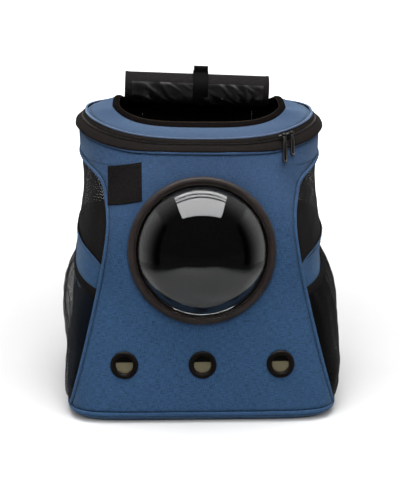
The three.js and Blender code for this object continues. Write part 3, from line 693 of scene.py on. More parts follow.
def make_looks(colours):
    blue, black = tuple(colours.cloth), tuple(colours.binding)
    return {
        "cloth": heathered("blue_heather", blue, 0.0014),
        # The lid is the body cloth again, darker and with more sheen: painted shade that evens out the light
        # and haze on top.
        "lid": heathered("blue_lid_heather", shade(blue, 0.64), 0.0014, sheen=0.42),
        "piping": heathered("blue_piping", shade(blue, 1.12), 0.0011, 0.7),
        # The lid's piping is a paler, greyer blue than the other piping: painted light, for the light its top
        # catches.
        "lid_piping": heathered("blue_lid_piping", (0.075, 0.115, 0.19, 1), 0.0011, 0.7, 0.5),
        "lining": ribbed("black_lining", shade(black, 0.6), 0.0012, 0.8),
        "binding": ribbed("black_binding", black, 0.0016),
        "trim": ribbed("mouth_trim_cloth", (0.0036, 0.0028, 0.0026, 1), 0.0016, 0.8, 0.02),
        # The mouth's edge cord is a lighter brown than the trim: a painted highlight along its inner edge.
        "trim_edge_highlight": ribbed("mouth_edge_painted_highlight", (0.014, 0.0102, 0.008, 1), 0.0012, 0.7, 0.05),
        "zip_cloth": ribbed("brown_black_binding", (0.0066, 0.005, 0.0044, 1), 0.0016),
        "cover_webbing": ribbed("cover_webbing", shade(black, 0.35), 0.0022, 0.55, 0.05),
        "webbing": ribbed("black_webbing", black, 0.0022, 0.55),
        "elastic": ribbed("black_elastic", shade(black, 0.8), 0.0026, 0.66),
        "window_mesh": knitted("black_window_mesh", black, 0.0030, 0.33, 0.5),
        "pocket_mesh_left": knitted("black_slack_mesh", shade(black, 0.3), 0.0026, 0.08, 0.5),
        "pocket_mesh_right": knitted("black_pocket_mesh", shade(black, 0.3), 0.0026, 0.4, 0.5),
        "flap_mesh": creased("black_flap_mesh", black, 0.0024),
        # The vent knit is dark above 3 mm up its cloth: the painted shadow of its ring's lip.
        "vent_mesh": vent_knit("olive_vent_mesh", tuple(colours.vents), shade(black, 0.5), 0.003),
        "plastic": moulded("black_plastic", tuple(colours.plastic), 0.36),
        "eyelet": moulded("black_eyelet_plastic", shade(colours.plastic, 0.25), 0.3, 0.25),
        "coil": moulded("black_nylon", shade(colours.plastic, 0.5), 0.25),
        "bubble": clear_bubble("clear_acrylic"),
        "metal": plated("dark_plating", tuple(colours.metal), 0.22),
        # A light plating for the rim on each zip pull: a painted highlight.
        "edge_highlight_metal": plated("painted_highlight_plating", (0.32, 0.29, 0.27, 1), 0.3),
        "blue_thread": heathered("blue_thread", shade(blue, 0.8), 0.0008, 0.5),
        "black_thread": ribbed("black_thread", shade(black, 2.0), 0.0008),
    }


# Geometry nodes: beads set along a path, for stitches and zip teeth
def bead_tree():
    tree = bpy.data.node_groups.new("beads_along_path", "GeometryNodeTree")
    face = tree.interface
    face.new_socket("Geometry", in_out="INPUT", socket_type="NodeSocketGeometry")
    for name in ("Pitch", "Length", "Width", "Height"):
        face.new_socket(name, in_out="INPUT", socket_type="NodeSocketFloat")
    face.new_socket("Finish", in_out="INPUT", socket_type="NodeSocketMaterial")
    face.new_socket("Geometry", in_out="OUTPUT", socket_type="NodeSocketGeometry")
    new, link = tree.nodes.new, tree.links.new
    start, end = new("NodeGroupInput"), new("NodeGroupOutput")
    curve, spaced = new("GeometryNodeMeshToCurve"), new("GeometryNodeResampleCurve")
    spaced.mode = "LENGTH"
    bead = new("GeometryNodeMeshUVSphere")
    bead.inputs["Segments"].default_value = 6
    bead.inputs["Rings"].default_value = 4
    bead.inputs["Radius"].default_value = 0.5
    turn = new("FunctionNodeAxesToRotation")
    turn.primary_axis, turn.secondary_axis = "X", "Z"
    tangent, up = new("GeometryNodeInputTangent"), new("GeometryNodeInputNamedAttribute")
    up.data_type = "FLOAT_VECTOR"
    up.inputs["Name"].default_value = "up"
    size, beads = new("ShaderNodeCombineXYZ"), new("GeometryNodeInstanceOnPoints")
    real, round_it = new("GeometryNodeRealizeInstances"), new("GeometryNodeSetShadeSmooth")
    finish = new("GeometryNodeSetMaterial")
    link(start.outputs["Geometry"], curve.inputs["Mesh"])
    link(curve.outputs["Curve"], spaced.inputs["Curve"])
    link(start.outputs["Pitch"], spaced.inputs["Length"])
    link(spaced.outputs["Curve"], beads.inputs["Points"])
    link(bead.outputs["Mesh"], beads.inputs["Instance"])
    link(tangent.outputs[0], turn.inputs["Primary Axis"])
    link(up.outputs[0], turn.inputs["Secondary Axis"])
    link(turn.outputs[0], beads.inputs["Rotation"])
    for i, name in enumerate(("Length", "Width", "Height")):
        link(start.outputs[name], size.inputs[i])
    link(size.outputs[0], beads.inputs["Scale"])
    link(beads.outputs["Instances"], real.inputs["Geometry"])
    link(real.outputs["Geometry"], round_it.inputs["Geometry"])
    link(round_it.outputs["Geometry"], finish.inputs["Geometry"])
    link(start.outputs["Finish"], finish.inputs["Material"])
    link(finish.outputs["Geometry"], end.inputs["Geometry"])
    return tree


def beads(name, runs, pitch, size, look):
    """A piece of beads along runs of (points, ups), in millimetres."""
    points, ups, edges, count = [], [], [], 0
    for path, up in runs:
        points.append(path)
        ups.append(up)
        edges.extend((count + k, count + k + 1) for k in range(len(path) - 1))
        count += len(path)
    line = bpy.data.meshes.new(name + "_line")
    line.from_pydata((np.concatenate(points) * MM + ORIGIN).tolist(), edges, [])
    line.attributes.new("up", "FLOAT_VECTOR", "POINT").data.foreach_set("vector", np.concatenate(ups).ravel())
    source = bpy.data.objects.new(name + "_line", line)
    bpy.context.scene.collection.objects.link(source)
    tree = bpy.data.node_groups.get("beads_along_path") or bead_tree()
    run = source.modifiers.new("beads", "NODES")
    run.node_group = tree
    values = {"Pitch": pitch, "Length": size[0], "Width": size[1], "Height": size[2]}
    for item in tree.interface.items_tree:
        if item.in_out == "INPUT" and item.name in values:
            run[item.identifier] = values[item.name] * MM
        elif item.in_out == "INPUT" and item.name == "Finish":
            run[item.identifier] = look
    done = source.evaluated_get(bpy.context.evaluated_depsgraph_get())
    mesh = bpy.data.meshes.new_from_object(done)
    mesh.name = name
    if not mesh.uv_layers:
        mesh.uv_layers.new(name="cloth")
    bpy.data.objects.remove(source)
    obj = bpy.data.objects.new(name, mesh)
    bpy.context.scene.collection.objects.link(obj)
    return obj


# Body cloth
FRONT_SEED, SIDE_SEED, BACK_SEED = 11, 21, 31
CLOTH_WAVE, CLOTH_WAVE_SIZE = 0.7, 120
# How far beside a hole's rim cloth is pulled to it, and how deep the hole reaches.
RIM_PULL, HOLE_DEPTH = 1.5, 25
# Height of the mesh windows' foot at the front edge and further back, and the share where it levels out.
FOOT_FRONT, FOOT_BACK, FOOT_LEVEL = 195.0, 226.0, 0.35
# Most that the right side is drawn in above its pocket.
DRAWN_IN = 7.5
BACK_PAD = 1.2
# How far the base draws in at its lower edge, where that bend starts, and its rim's share of tuck.
BASE_DRAW, BASE_BEND, BASE_TUCK = 9.5, 10.5, 0.012


def drape(turn, height, seed, out=0.0):
    """Cloth over the body, a little uneven and sewn down at its seams, with the painted shade beside its
    seams.
    """
    points, normal = body(turn, height), body_normal(turn, height)
    uneven = CLOTH_WAVE * soft_waves(points, CLOTH_WAVE_SIZE, seed)
    return sewn(points + normal * (out + uneven)[..., None], normal)


def axes_from(normal):
    ex = unit(np.array([1.0, 0, 0]) - normal * normal[0])
    return ex, np.cross(normal, ex), normal


def window_axes():
    turn, height = np.array(-np.pi / 2), np.array(WINDOW_HEIGHT)
    return body(turn, height), axes_from(body_normal(turn, height))


def vent_places():
    height = np.array(VENT_HEIGHT)
    for k in (-1, 0, 1):
        turn = on_side(k or 1, turn_at(abs(k) * VENT_SPACING, body_row(height)))
        yield body(turn, height), axes_from(body_normal(turn, height))


def openings():
    centre, axes = window_axes()
    yield centre, axes, WINDOW_HOLE
    for centre, axes in vent_places():
        yield centre, axes, VENT_HOLE


def from_axis(points, centre, normal):
    """Offsets of points from an axis, how long they are, and how far along the axis the points lie."""
    offset = points - centre
    along = offset @ normal
    across = offset - along[..., None] * normal
    return across, np.linalg.norm(across, axis=-1), np.abs(along)


def pierced(points, keep, centre, normal, radius):
    """Moves points beside a hole to its rim, and drops the faces inside."""
    across, away, depth = from_axis(points, centre, normal)
    near = (np.abs(away - radius) < RIM_PULL) & (depth < HOLE_DEPTH)
    moved = points + across * ((radius - away) / np.maximum(away, 1e-6))[..., None]
    points = np.where(near[..., None], moved, points)
    _, away, depth = from_axis(points, centre, normal)
    inside = (away < radius + 0.01) & (depth < HOLE_DEPTH)
    hole = inside[:-1, :-1] & inside[1:, :-1] & inside[:-1, 1:] & inside[1:, 1:]
    return points, keep & ~hole


def front_cloth(looks, wall):
    """Front panel and the collar that runs on round both sides, in one cloth."""
    rows = np.concatenate([
        np.linspace(SEAM, 40, 13), np.linspace(40, 280, 104)[1:], np.linspace(280, COLLAR, 46)[1:],
    ])
    across, height = np.meshgrid(np.linspace(-1, 1, 181), rows)
    turn = -np.pi / 2 + across * (np.pi / 2 + edge_turn(rows))[:, None]
    # drape also gives the painted shade that darkens the cloth beside its seams.
    panel, panel_seam_shade = drape(turn, height, FRONT_SEED)
    keep = np.ones((panel.shape[0] - 1, panel.shape[1] - 1), bool)
    for centre, axes, radius in openings():
        panel, keep = pierced(panel, keep, centre, axes[2], radius)
    # The collar has a column for each degree from one back edge round the front to the other.
    collar_turn, collar_height = np.meshgrid(np.radians(np.arange(-228, 49)), np.linspace(COLLAR, TOP, 13))
    collar, collar_seam_shade = drape(collar_turn, collar_height, FRONT_SEED)
    panel_cloth, collar_cloth = cloth_of(panel), cloth_of(collar)
    collar_cloth[..., 1] += panel_cloth[-1, 0, 1]
    shape = Shape().grid(panel, panel_cloth, keep=keep, seam=panel_seam_shade)
    shape.grid(collar, collar_cloth, seam=collar_seam_shade)
    nodes = "front_panel", "side_collar_left", "side_collar_right"
    lined(shape, "front_cloth", looks, wall, *nodes, weld=0.05)


def window_foot(u):
    return lerp(FOOT_FRONT, FOOT_BACK, np.sin(np.pi / 2 * np.clip(u / FOOT_LEVEL, 0, 1)) ** 0.7)


def side_turn(u, z):
    return lerp(edge_turn(z), BACK_EDGE, u)


def side_grid(columns, rows, low, high):
    """Shares across and up the side, and heights from low(u) to high(u)."""
    u, v = np.meshgrid(np.linspace(0, 1, columns), np.linspace(0, 1, rows))
    return u, v, lerp(low(u), high(u), v)


def facing(side, grid):
    """Grids of the left side run the other way, so that they still face out."""
    return grid if side > 0 else grid[:, ::-1]


def side_cloth(name, side, looks, wall):
    u, v, z = side_grid(90, 90, lambda u: np.full_like(u, SEAM), window_foot)
    fold = smooth(v, 0.955, 0.985)
    slack = smooth(z, 150, 186) * (1 - smooth(z, 192, 230)) * np.sin(np.pi * u) ** 0.5
    drawn_in = (side > 0) * DRAWN_IN * slack
    points, seam = drape(on_side(side, side_turn(u, z)), z, SIDE_SEED + side, fold - drawn_in)
    # Painted shade: below the pocket's hem the seam attribute darkens the side cloth behind the pocket.
    seam = np.maximum(seam, 1.15 * smooth(hem_height(u) - z, 3, 12))
    shape = Shape().grid(facing(side, points), seam=facing(side, seam))
    lined(shape, "side_cloth_" + name, looks, wall, "side_panel_" + name)


def back_cloth(looks, wall):
    columns, rows = 90, 110
    turn, z = np.meshgrid(np.linspace(BACK_EDGE, np.pi - BACK_EDGE, columns), np.linspace(SEAM, TOP, rows))
    u, v = np.meshgrid(np.linspace(0, 1, columns), np.linspace(0, 1, rows))
    pad = np.sin(np.pi * u) ** 0.5 * np.sin(np.pi * v) ** 0.5
    points, seam = drape(turn, z, BACK_SEED, BACK_PAD * pad)
    lined(Shape().grid(points, seam=seam), "back_cloth", looks, wall, "back_panel")


def base_cloth(looks, wall):
    half, front, middle, back, square = body_row(np.array(SEAM))
    turn = np.linspace(0, TAU, 321)[:-1]
    square = np.where(np.sin(turn) < 0, square, REAR_SQUARE)
    bend = [(BASE_DRAW * t**2.4, BASE_BEND * (1 - t) ** 0.75) for t in np.linspace(0, 1, 14)]
    loops = []
    for inset, z in [(0.0, SEAM)] + bend:
        x, y = plan(half - inset, front - inset, middle, back - inset, square, turn)
        loops.append(np.stack([x, y, np.full_like(x, z)], -1))
    edge, centre = loops[-1], np.array([0, BASE_MIDDLE, 0])
    for share in (0.94, 0.82, 0.66, 0.5, 0.34, 0.18, 0.0):
        loops.append(centre + (edge - centre) * share)
    points = np.stack(loops)[::-1]
    points[-1] += (centre - points[-1]) * BASE_TUCK
    # Painted shade: the seam attribute darkens the whole base a little, and more where it turns under at its
    # lower edge.
    low = 0.24 + 0.5 * smooth(-points[..., 2], -9, -1)
    lined(Shape().grid(points, round_columns=True, seam=low), "base_cloth", looks, wall, "base_panel")


# Mesh windows and pockets of the sides
MESH_WALL, ELASTIC_WALL = 0.4, 1.5
HEM_FRONT, HEM_BACK = 167.0, 191.0
# The share of a pocket's height at which its hem starts, and the height of its foot.
HEM_SHARE = 1 - 11 / 171
POCKET_FOOT = 13.0
# How far each pocket stands off its side, by shares of its height: the left bag sags from a full top.
POCKET_OUT = {
    -1: np.array([
        [0, 0.3], [0.1, 1.2], [0.27, 1.8], [0.385, 3.8], [0.5, 7.6], [0.62, 10.2], [0.73, 9.4], [0.8, 7.4],
        [0.86, 3.2], [0.92, -0.4], [1, -1.2],
    ]),
    1: np.array([
        [0, 0.5], [0.1, 1.0], [0.18, 5.0], [0.28, 9.4], [0.46, 11.6], [0.7, 9.0], [0.8, 6.4], [0.88, 3.2],
        [0.94, -1.4], [1, -6.8],
    ]),
}


def side_window(name, side, looks):
    """Slack mesh that runs on a little way under the cloth round it."""
    u, v, z = side_grid(80, 80, lambda u: window_foot(u) - 5, lambda u: np.full_like(u, COLLAR + 3))
    turn = on_side(side, side_turn(u * 1.045 - 0.015, z))
    points, normal = body(turn, z), body_normal(turn, z)
    slack = np.sin(np.pi * u) ** 0.7 * np.sin(np.pi * v) ** 0.7
    upright = points * np.array([1, 1, 0.35])
    folds = 1.6 * soft_waves(upright, 46, 41 + side) + 0.7 * soft_waves(points, 18, 51)
    points = points + normal * (-1.0 + slack * (folds - 1.5))[..., None]
    mesh = Shape().grid(facing(side, sewn(points, normal, 1.6)[0]))
    single(mesh, "window_mesh_" + name, looks["window_mesh"], MESH_WALL, "black_mesh", "side_mesh_" + name)


def hem_height(u):
    return lerp(HEM_FRONT, HEM_BACK, np.sin(np.pi / 2 * np.minimum(u * 2.4, 1)))


def pocket_skin(side, u, v, extra=0.0):
    """The pocket by shares of its width and height, standing off the side."""
    z = lerp(POCKET_FOOT, hem_height(u), v)
    sewn_in = np.minimum(smooth(u, 0, 0.05), smooth(1 - u, 0, 0.05)) * smooth(v, 0, 0.06)
    across = np.sin(np.pi * np.clip(u, 0, 1)) ** 0.55
    out = 0.6 + sewn_in * 0.8 + column(POCKET_OUT[side], 1, v) * across + extra * sewn_in
    return body_out(on_side(side, side_turn(u, z)), z, out)


def pocket_bag(name, side, looks):
    u, v = np.meshgrid(np.linspace(0, 1, 110), np.linspace(0, HEM_SHARE + 0.01, 90))
    rng = np.random.default_rng(60 + side)
    folds = np.zeros_like(u)
    for count, size in ((5, 1.5), (9, 1.1), (15, 0.6)):
        drift = rng.uniform(-0.9, 0.9)
        folds += size * np.sin(TAU * (count * u + drift * v) + rng.uniform(0, TAU)) * (0.35 + 0.65 * v)
    sag = 1.4 * np.sin(TAU * (1.6 * v + 0.2 * u))
    points = pocket_skin(side, u, v, folds + sag)
    points = points + 0.5 * soft_waves(points, 16, 71)[..., None] * np.array([side, 0, 0])
    bag, look = Shape().grid(facing(side, points)), looks["pocket_mesh_" + name]
    single(bag, "pocket_mesh_" + name, look, MESH_WALL, "black_mesh", "side_pocket_" + name)


def pocket_hem(name, side, looks):
    """Gathered elastic along the pocket's upper edge."""
    u, v = np.meshgrid(np.linspace(0, 1, 320), np.linspace(HEM_SHARE, 1, 16))
    share = (v - HEM_SHARE) / (1 - HEM_SHARE)
    gathers = 0.35 * np.sin(TAU * 62 * u + 2 * np.sin(9 * u)) * np.sin(np.pi * share) ** 0.5
    roll = 0.9 * np.sqrt(np.clip(1 - (2 * share - 1) ** 2, 0, 1))
    hem = Shape().grid(facing(side, pocket_skin(side, u, v, roll + gathers)))
    single(hem, "pocket_elastic_" + name, looks["elastic"], ELASTIC_WALL, "black_cloth", "pocket_hem_" + name)


# Corded seams
LID_SEAM = 0.88


def corded(radius, count):
    """Round sections that swell and shrink a little, as cloth does over a cord."""
    swell = 1 + 0.035 * np.sin(np.arange(count) * 1.9) + 0.03 * np.sin(np.arange(count) * 0.37)
    return disc(radius, 10)[None] * swell[:, None, None]


def corded_seam(looks, name, node, path, outs, radius, look="piping", closed=True):
    """A cord in blue cloth along a path, with lining on its back."""
    shape = Shape().sweep(path, outs, corded(radius, len(path)), closed, lined=True)
    place(shape.piece(name, looks[look], looks["lining"]), "piping_cloth", node)


def piping(looks, radius, lid_radius):
    for node, height in (("base_piping", SEAM), ("top_piping", TOP)):
        turn, z = level_seam(height)
        corded_seam(looks, node + "_cord", node, body(turn, z), body_normal(turn, z), radius)
    for name, side in SIDES:
        turn, z = (values[2:] for values in front_seam(side))
        cord, node = "front_piping_cord_" + name, "front_piping_" + name
        corded_seam(looks, cord, node, body(turn, z), body_normal(turn, z), radius, closed=False)
    turn = loop_turns(lambda turn: shoulder(turn, LID_SEAM), CORD_STEP)
    path, outs = shoulder(turn, LID_SEAM), shoulder_normal(turn, LID_SEAM)
    path += outs * (0.3 + 1.3 * smooth(np.abs(path[:, :1]), 85, 125))
    corded_seam(looks, "lid_piping_cord", "lid_piping", path, outs, lid_radius, "lid_piping")


# Zip band, by shares of the shoulder's slope
ZIP_LOWER, ZIP_UPPER, LID_EDGE = (-0.16, 0.435), (0.565, 0.85), 0.86
ZIP_BED, ZIP_MIDDLE, TOOTH_ROWS = (0.42, 0.58), 0.5, (0.468, 0.532)
TOOTH_PITCH, TOOTH_SIZE = 1.25, (0.95, 1.9, 1.7)
# How far to the right of the middle each slider sits.
SLIDER_PLACES = {"left": 103.5, "right": 113.0}
SLIDER_OUT = 1.2
# How far the bar stands off the slider's middle, and its radius.
BAR_HEIGHT, BAR_RADIUS = 6.1, 0.95
# Half of the slider's outline (along, up) and of the arch of its bar (along, out).
SLIDER_OUTLINE = [[5.2, 2.6], [2.2, 4.0], [-4.2, 4.0], [-5.2, 2.4]]
SLIDER_ARCH = [[-4.4, 2.6], [-4.5, 4.6], [-4.1, 5.8], [-3.2, BAR_HEIGHT]]
# The pull's collar round the bar (radius, along), its half width, its neck's end and half of that neck.
PULL_COLLAR = [
    [2.7, -1.9], [2.7, 1.9], [2.4, 2.3], [1.8, 2.3], [1.6, 1.9], [1.6, -1.9], [1.8, -2.3], [2.4, -2.3],
]
PULL_HALF, NECK_END = 3.0, 9.0
PULL_NECK = np.array([[-2.0, -1.8], [-2.1, -6.0], [-PULL_HALF, -NECK_END]])
PULL_TILT = math.radians(18)
# Half thickness of a pull's plate, the radius of its eye, and the painted highlight rim on its face.
PLATE_HALF, EYE_RADIUS, EDGE_HIGHLIGHT_RADIUS = 1.0, 1.25, 0.5


def zip_turns(step=2.2):
    turn = np.linspace(-np.pi - ZIP_END, ZIP_END, 2001)
    return resample(shoulder(turn, ZIP_MIDDLE), step, turn)[0]


def shoulder_run(turn, share, out):
    """A line for beads on the shoulder: its points, and which way is up there."""
    up = shoulder_normal(turn, share)
    return shoulder(turn, share) + up * out, up


def zip_band(looks):
    """Two crowned tapes, and the teeth on their bed between them."""
    turn = zip_turns()
    across = np.linspace(-1, 1, 13)[:, None]
    for name, (low, high), crown in (("lower", ZIP_LOWER, 1.4), ("upper", ZIP_UPPER, 1.3)):
        out = crown * np.sqrt(np.clip(1 - across**2, 0, 1)) ** 0.7 - 0.4
        tape = Shape().grid(shoulder_out(*np.meshgrid(turn, np.linspace(low, high, 13)), out))
        single(tape, "zip_binding_" + name, looks["zip_cloth"], 1.2, "black_cloth", "zip_tape_" + name)
    bed = Shape().grid(shoulder_out(*np.meshgrid(turn, np.linspace(*ZIP_BED, 5)), -0.6))
    single(bed, "zip_bed", looks["lining"], 0.8, "black_cloth")
    runs = [shoulder_run(turn, share, 0.35) for share in TOOTH_ROWS]
    place(beads("zip_teeth", runs, TOOTH_PITCH, TOOTH_SIZE, looks["coil"]), "black_plastic", "zip_coil")


def lid_hinge(looks):
    """The cloth strip that closes the band at the back, where no zip runs."""
    turn, share = np.meshgrid(np.linspace(ZIP_END, np.pi - ZIP_END, 70), np.linspace(-0.2, LID_SEAM, 18))
    out = 0.6 * np.sin(np.pi * np.clip(share, 0, 1)) - 1.2 * smooth(-share, 0, 0.2)
    lined(Shape().grid(shoulder_out(turn, share, out)), "lid_hinge_strip", looks, 1.6, "lid_hinge")


def slider_place(x):
    """Where a slider sits on the zip: its middle, and its axes along, up the slope and out."""
    row = [lerp(SHOULDER[0, k], SHOULDER[1, k], ZIP_MIDDLE) for k in range(1, 6)]
    turn = turn_at(x, row)
    out = shoulder_normal(turn, ZIP_MIDDLE)
    along = unit(shoulder(turn + TURN_STEP, ZIP_MIDDLE) - shoulder(turn - TURN_STEP, ZIP_MIDDLE))
    return shoulder(turn, ZIP_MIDDLE) + out * SLIDER_OUT, along, np.cross(out, along), out


def mirrored(half, flip):
    """Half of an outline, then its mirror image."""
    half = np.array(half)
    return np.concatenate([half, half[::-1] * flip])


def stacked(centre, axes, rings):
    """Outlines in the first two axes, each at a height along the third."""
    ex, ey, ez = axes
    return np.stack([centre + ring[:, :1] * ex + ring[:, 1:] * ey + h * ez for ring, h in rings])


def block(shape, centre, axes, outline, low, high, soft):
    """A plate with the given outline, from low to high, with soft edges."""
    offset = outline - outline.mean(0)
    inner = outline.mean(0) + offset * (1 - soft / np.abs(offset).max(0))
    rings = [(inner, low), (outline, low + soft), (outline, high - soft), (inner, high)]
    points = stacked(centre, axes, rings)
    shape.grid(points, round_columns=True)
    shape.cap(points[0][::-1])
    shape.cap(points[-1])


def plate(shape, centre, axes, outline, eye, count=72, soft=0.35, lip=0.2):
    """A flat plate with a round eye and softened edges."""
    closed = np.concatenate([outline, outline[:1]])
    length = distances(closed)
    places = np.arange(count) / count * length[-1]
    rim = np.stack([np.interp(places, length, closed[:, k]) for k in (0, 1)], -1)
    angle = np.unwrap(np.arctan2(*(rim - eye).T[::-1]))
    hole = eye + EYE_RADIUS * np.stack([np.cos(angle), np.sin(angle)], -1)
    inner, edge = rim + unit(eye - rim) * soft, hole + unit(hole - eye) * lip
    half = PLATE_HALF
    shape.grid(stacked(centre, axes, [
        (edge, -half), (inner, -half), (rim, soft - half), (rim, half - soft),
        (inner, half), (edge, half), (hole, half - lip), (hole, lip - half),
    ]), round_rows=True, round_columns=True)


def zip_slider(name, x, looks):
    centre, along, up, out = slider_place(x)
    shape = Shape()
    outline = rounded(mirrored(SLIDER_OUTLINE, (1, -1)), 1.4)
    block(shape, centre, (along, up, out), outline, 0.9, 3.0, 0.7)
    block(shape, centre, (along, up, out), outline * 0.96, -0.2, 0.7, 0.3)
    arch = rounded(mirrored(SLIDER_ARCH, (-1, 1)), 1.2, 3, False)
    shape.sweep(centre + arch[:, :1] * along + arch[:, 1:] * out, up, disc(BAR_RADIUS, 10))
    place(shape.piece("slider_" + name, looks["metal"], weld=0.01), "dark_metal", "zip_slider_" + name)


def zip_pull(name, x, length, looks):
    """A pull that turns about its slider's bar, with its plate hanging plumb in its own plane."""
    centre, along, _, out = slider_place(x)
    pivot = centre + out * BAR_HEIGHT
    outward = unit(np.cross(along, np.array([0, 0, 1.0])))
    upright = unit(np.cross(outward, along) * math.cos(PULL_TILT) - outward * math.sin(PULL_TILT))
    front = -np.cross(upright, along)
    shape = Shape().lathe(PULL_COLLAR, pivot, (upright, front, along), 24)
    upright = unit(upright - along * (upright[0] / along[0]))
    along = np.cross(upright, front)
    eye = np.array([0.0, -(length - PULL_HALF)])
    tip = [[-PULL_HALF * np.cos(a), eye[1] - PULL_HALF * np.sin(a)] for a in np.linspace(0, np.pi, 13)]
    outline = np.concatenate([PULL_NECK, tip, PULL_NECK[::-1] * (-1, 1)])
    plate(shape, pivot + front * 1.7, (along, upright, front), outline, eye)
    # A lighter metal rim on the pull's face is a painted highlight along its edge.
    across, below = outline[2:-2].T
    rim = np.stack([across * 0.72, -NECK_END - (-below - NECK_END) * 0.93], -1)
    path = pivot + front * 2.62 + rim[:, :1] * along + rim[:, 1:] * upright
    edge = Shape().sweep(path, front, disc(EDGE_HIGHLIGHT_RADIUS, 8)).piece("pull_edge_" + name, looks["edge_highlight_metal"])
    place(edge, "dark_metal", rides="pull_" + name)
    pull = shape.piece("pull_" + name, looks["metal"])
    place(pull, "dark_metal", "zip_pull_" + name, rides="pull_" + name)


# Lid and its mouth
MOUTH_HALF, MOUTH_FRONT, MOUTH_BACK, MOUTH_MIDDLE = 110, 56, 69, 30
MOUTH_FRONT_SQUARE, MOUTH_BACK_SQUARE = 2.9, 7.0
# Height of the mouth's rim at its front, and how far its ends rise.
MOUTH_HEIGHT, MOUTH_RISE = 350.7, 14
# Section of the mouth's binding (out, side), and how far its outer edge flares along the front.
BINDING = [
    [4.6, -0.6], [4.0, 2.6], [0.5, 3.4], [-2.9, 3.0], [-4.2, 0.4], [-4.1, -3.0], [-1.2, -4.4], [2.8, -3.2],
]
BINDING_FLARE = np.array([3.8, 1.3])
BINDING_CORD = 1.15


def mouth_rim(turn, out=0.0):
    square = np.where(np.sin(turn) < 0, MOUTH_FRONT_SQUARE, MOUTH_BACK_SQUARE)
    x, y = plan(MOUTH_HALF + out, MOUTH_FRONT + out, 0, MOUTH_BACK + out, square, turn)
    ends = np.minimum(np.abs(x) / MOUTH_HALF, 1) ** 5
    z = MOUTH_HEIGHT + MOUTH_RISE * ends * (1 - 0.5 * smooth(y, 55.2, MOUTH_BACK))
    return settle(np.stack([x, y + MOUTH_MIDDLE, z], -1))


def mouth_turns(step):
    return loop_turns(mouth_rim, step, 4001)


def lid_cloth(looks, wall):
    turn = mouth_turns(2.6)
    share = np.linspace(0, 1, 60)[:, None]
    edge, lip = shoulder(turn, LID_EDGE), mouth_rim(turn, 2.0)
    points = lerp(edge[None], lip[None], share[..., None])
    room = np.linalg.norm(edge - lip, axis=-1)[None]
    away = np.minimum(share * room, (1 - share) * room)
    rise = 1.7 * np.sin(np.pi * share) + 0.9 * soft_waves(points, 70, 81) * smooth(away, 2, 16)
    dip = -1.6 * np.exp(-((share * room / 3.0) ** 2))
    pucker = 0.35 * np.exp(-share * room / 7) * np.sin(np.arange(len(turn)) * 1.15)[None]
    points[..., 2] += rise + dip + pucker
    # Painted shade: a dark line in the lid cloth beside its corded seam, given through the seam attribute.
    dark = np.exp(-(((share * room - 5.2) / 1.5) ** 2))
    shape = Shape().grid(points, round_columns=True, seam=dark)
    lined(shape, "lid_cloth", looks, wall, "lid_panel", cloth="lid")


def mouth_binding(looks):
    turn = mouth_turns(2.2)
    path = mouth_rim(turn)
    outs = np.stack([path[:, 0], path[:, 1] - MOUTH_MIDDLE, np.zeros(len(path))], -1)
    section = rounded(BINDING, 1.6, 3)
    front = np.clip(-unit(outs)[:, 1], 0, 1) ** 1.5
    flare = smooth(section[:, 0], 1.0, 4.0)
    section = section[None] + front[:, None, None] * flare[None, :, None] * BINDING_FLARE
    trim = Shape().sweep(path, outs, section, True).piece("mouth_binding", looks["trim"])
    place(trim, "black_cloth", "mouth_trim")
    # The cord along the inner edge has the lighter look: a painted highlight.
    inner = mouth_rim(turn, -3.6) + np.array([0, 0, 3.6])
    cord = Shape().sweep(inner, outs, corded(BINDING_CORD, len(turn)), True)
    place(cord.piece("mouth_cord", looks["trim_edge_highlight"]), "black_cloth")


# Rolled mouth cover
ROLL_MIDDLE = np.array([-1.8, 78.0, 392.0])
ROLL_TILT = math.radians(2.4)
ROLL_LENGTH, ROLL_RADIUS, ROLL_CORE, ROLL_TURNS = 189.0, 21.5, 8.0, 2.25
ROLL_INSET, TAIL_DEPTH, TAIL_DROP = 0.3, 15, 3.2
# Millimetres of cloth to a share of the spiral, for its creases.
ROLL_CLOTH = 170
COVER_WALL = 0.9
COVER_EDGE = [[1.3, 2.2], [-1.3, 2.2], [-1.3, -2.2], [1.3, -2.2]]
# The strap's place along the roll, and the folded tab (back, up) that stands at its end, about its middle.
STRAP_PLACE = 4.6
TAB = [
    [-6.6, 21.6], [-6.9, 25.0], [-6.7, 28.4], [-5.6, 30.1], [-3.6, 30.3], [-2.4, 28.8], [-2.2, 25.0],
    [-2.1, 21.8],
]
TAB_MIDDLE = (-4.4, 24.0)


def roll_point(x, y, z):
    """Points given along the roll, back from its middle and up from it."""
    x, y, z = np.broadcast_arrays(x, y, z)
    c, s = math.cos(ROLL_TILT), math.sin(ROLL_TILT)
    return ROLL_MIDDLE + np.stack([x * c + z * s, y, z * c - x * s], -1)


def roll_path(step=1.5):
    """The rolled sheet's section: y, z and the share of its spiral, which passes 1 along its tail."""
    share = np.linspace(0, 1, 900)
    angle = -TAU * ROLL_TURNS * (1 - share) - np.pi / 2
    radius = lerp(ROLL_CORE, ROLL_RADIUS, share) - ROLL_INSET
    tail = np.linspace(0, 1, 40)[1:]
    y = np.concatenate([radius * np.cos(angle), TAIL_DEPTH * tail])
    z = np.concatenate([radius * np.sin(angle), -(ROLL_RADIUS - ROLL_INSET) - TAIL_DROP * smooth(tail, 0, 1)])
    share = np.concatenate([share, 1 + tail])
    return resample(np.stack([y, z], -1), step, y, z, share)


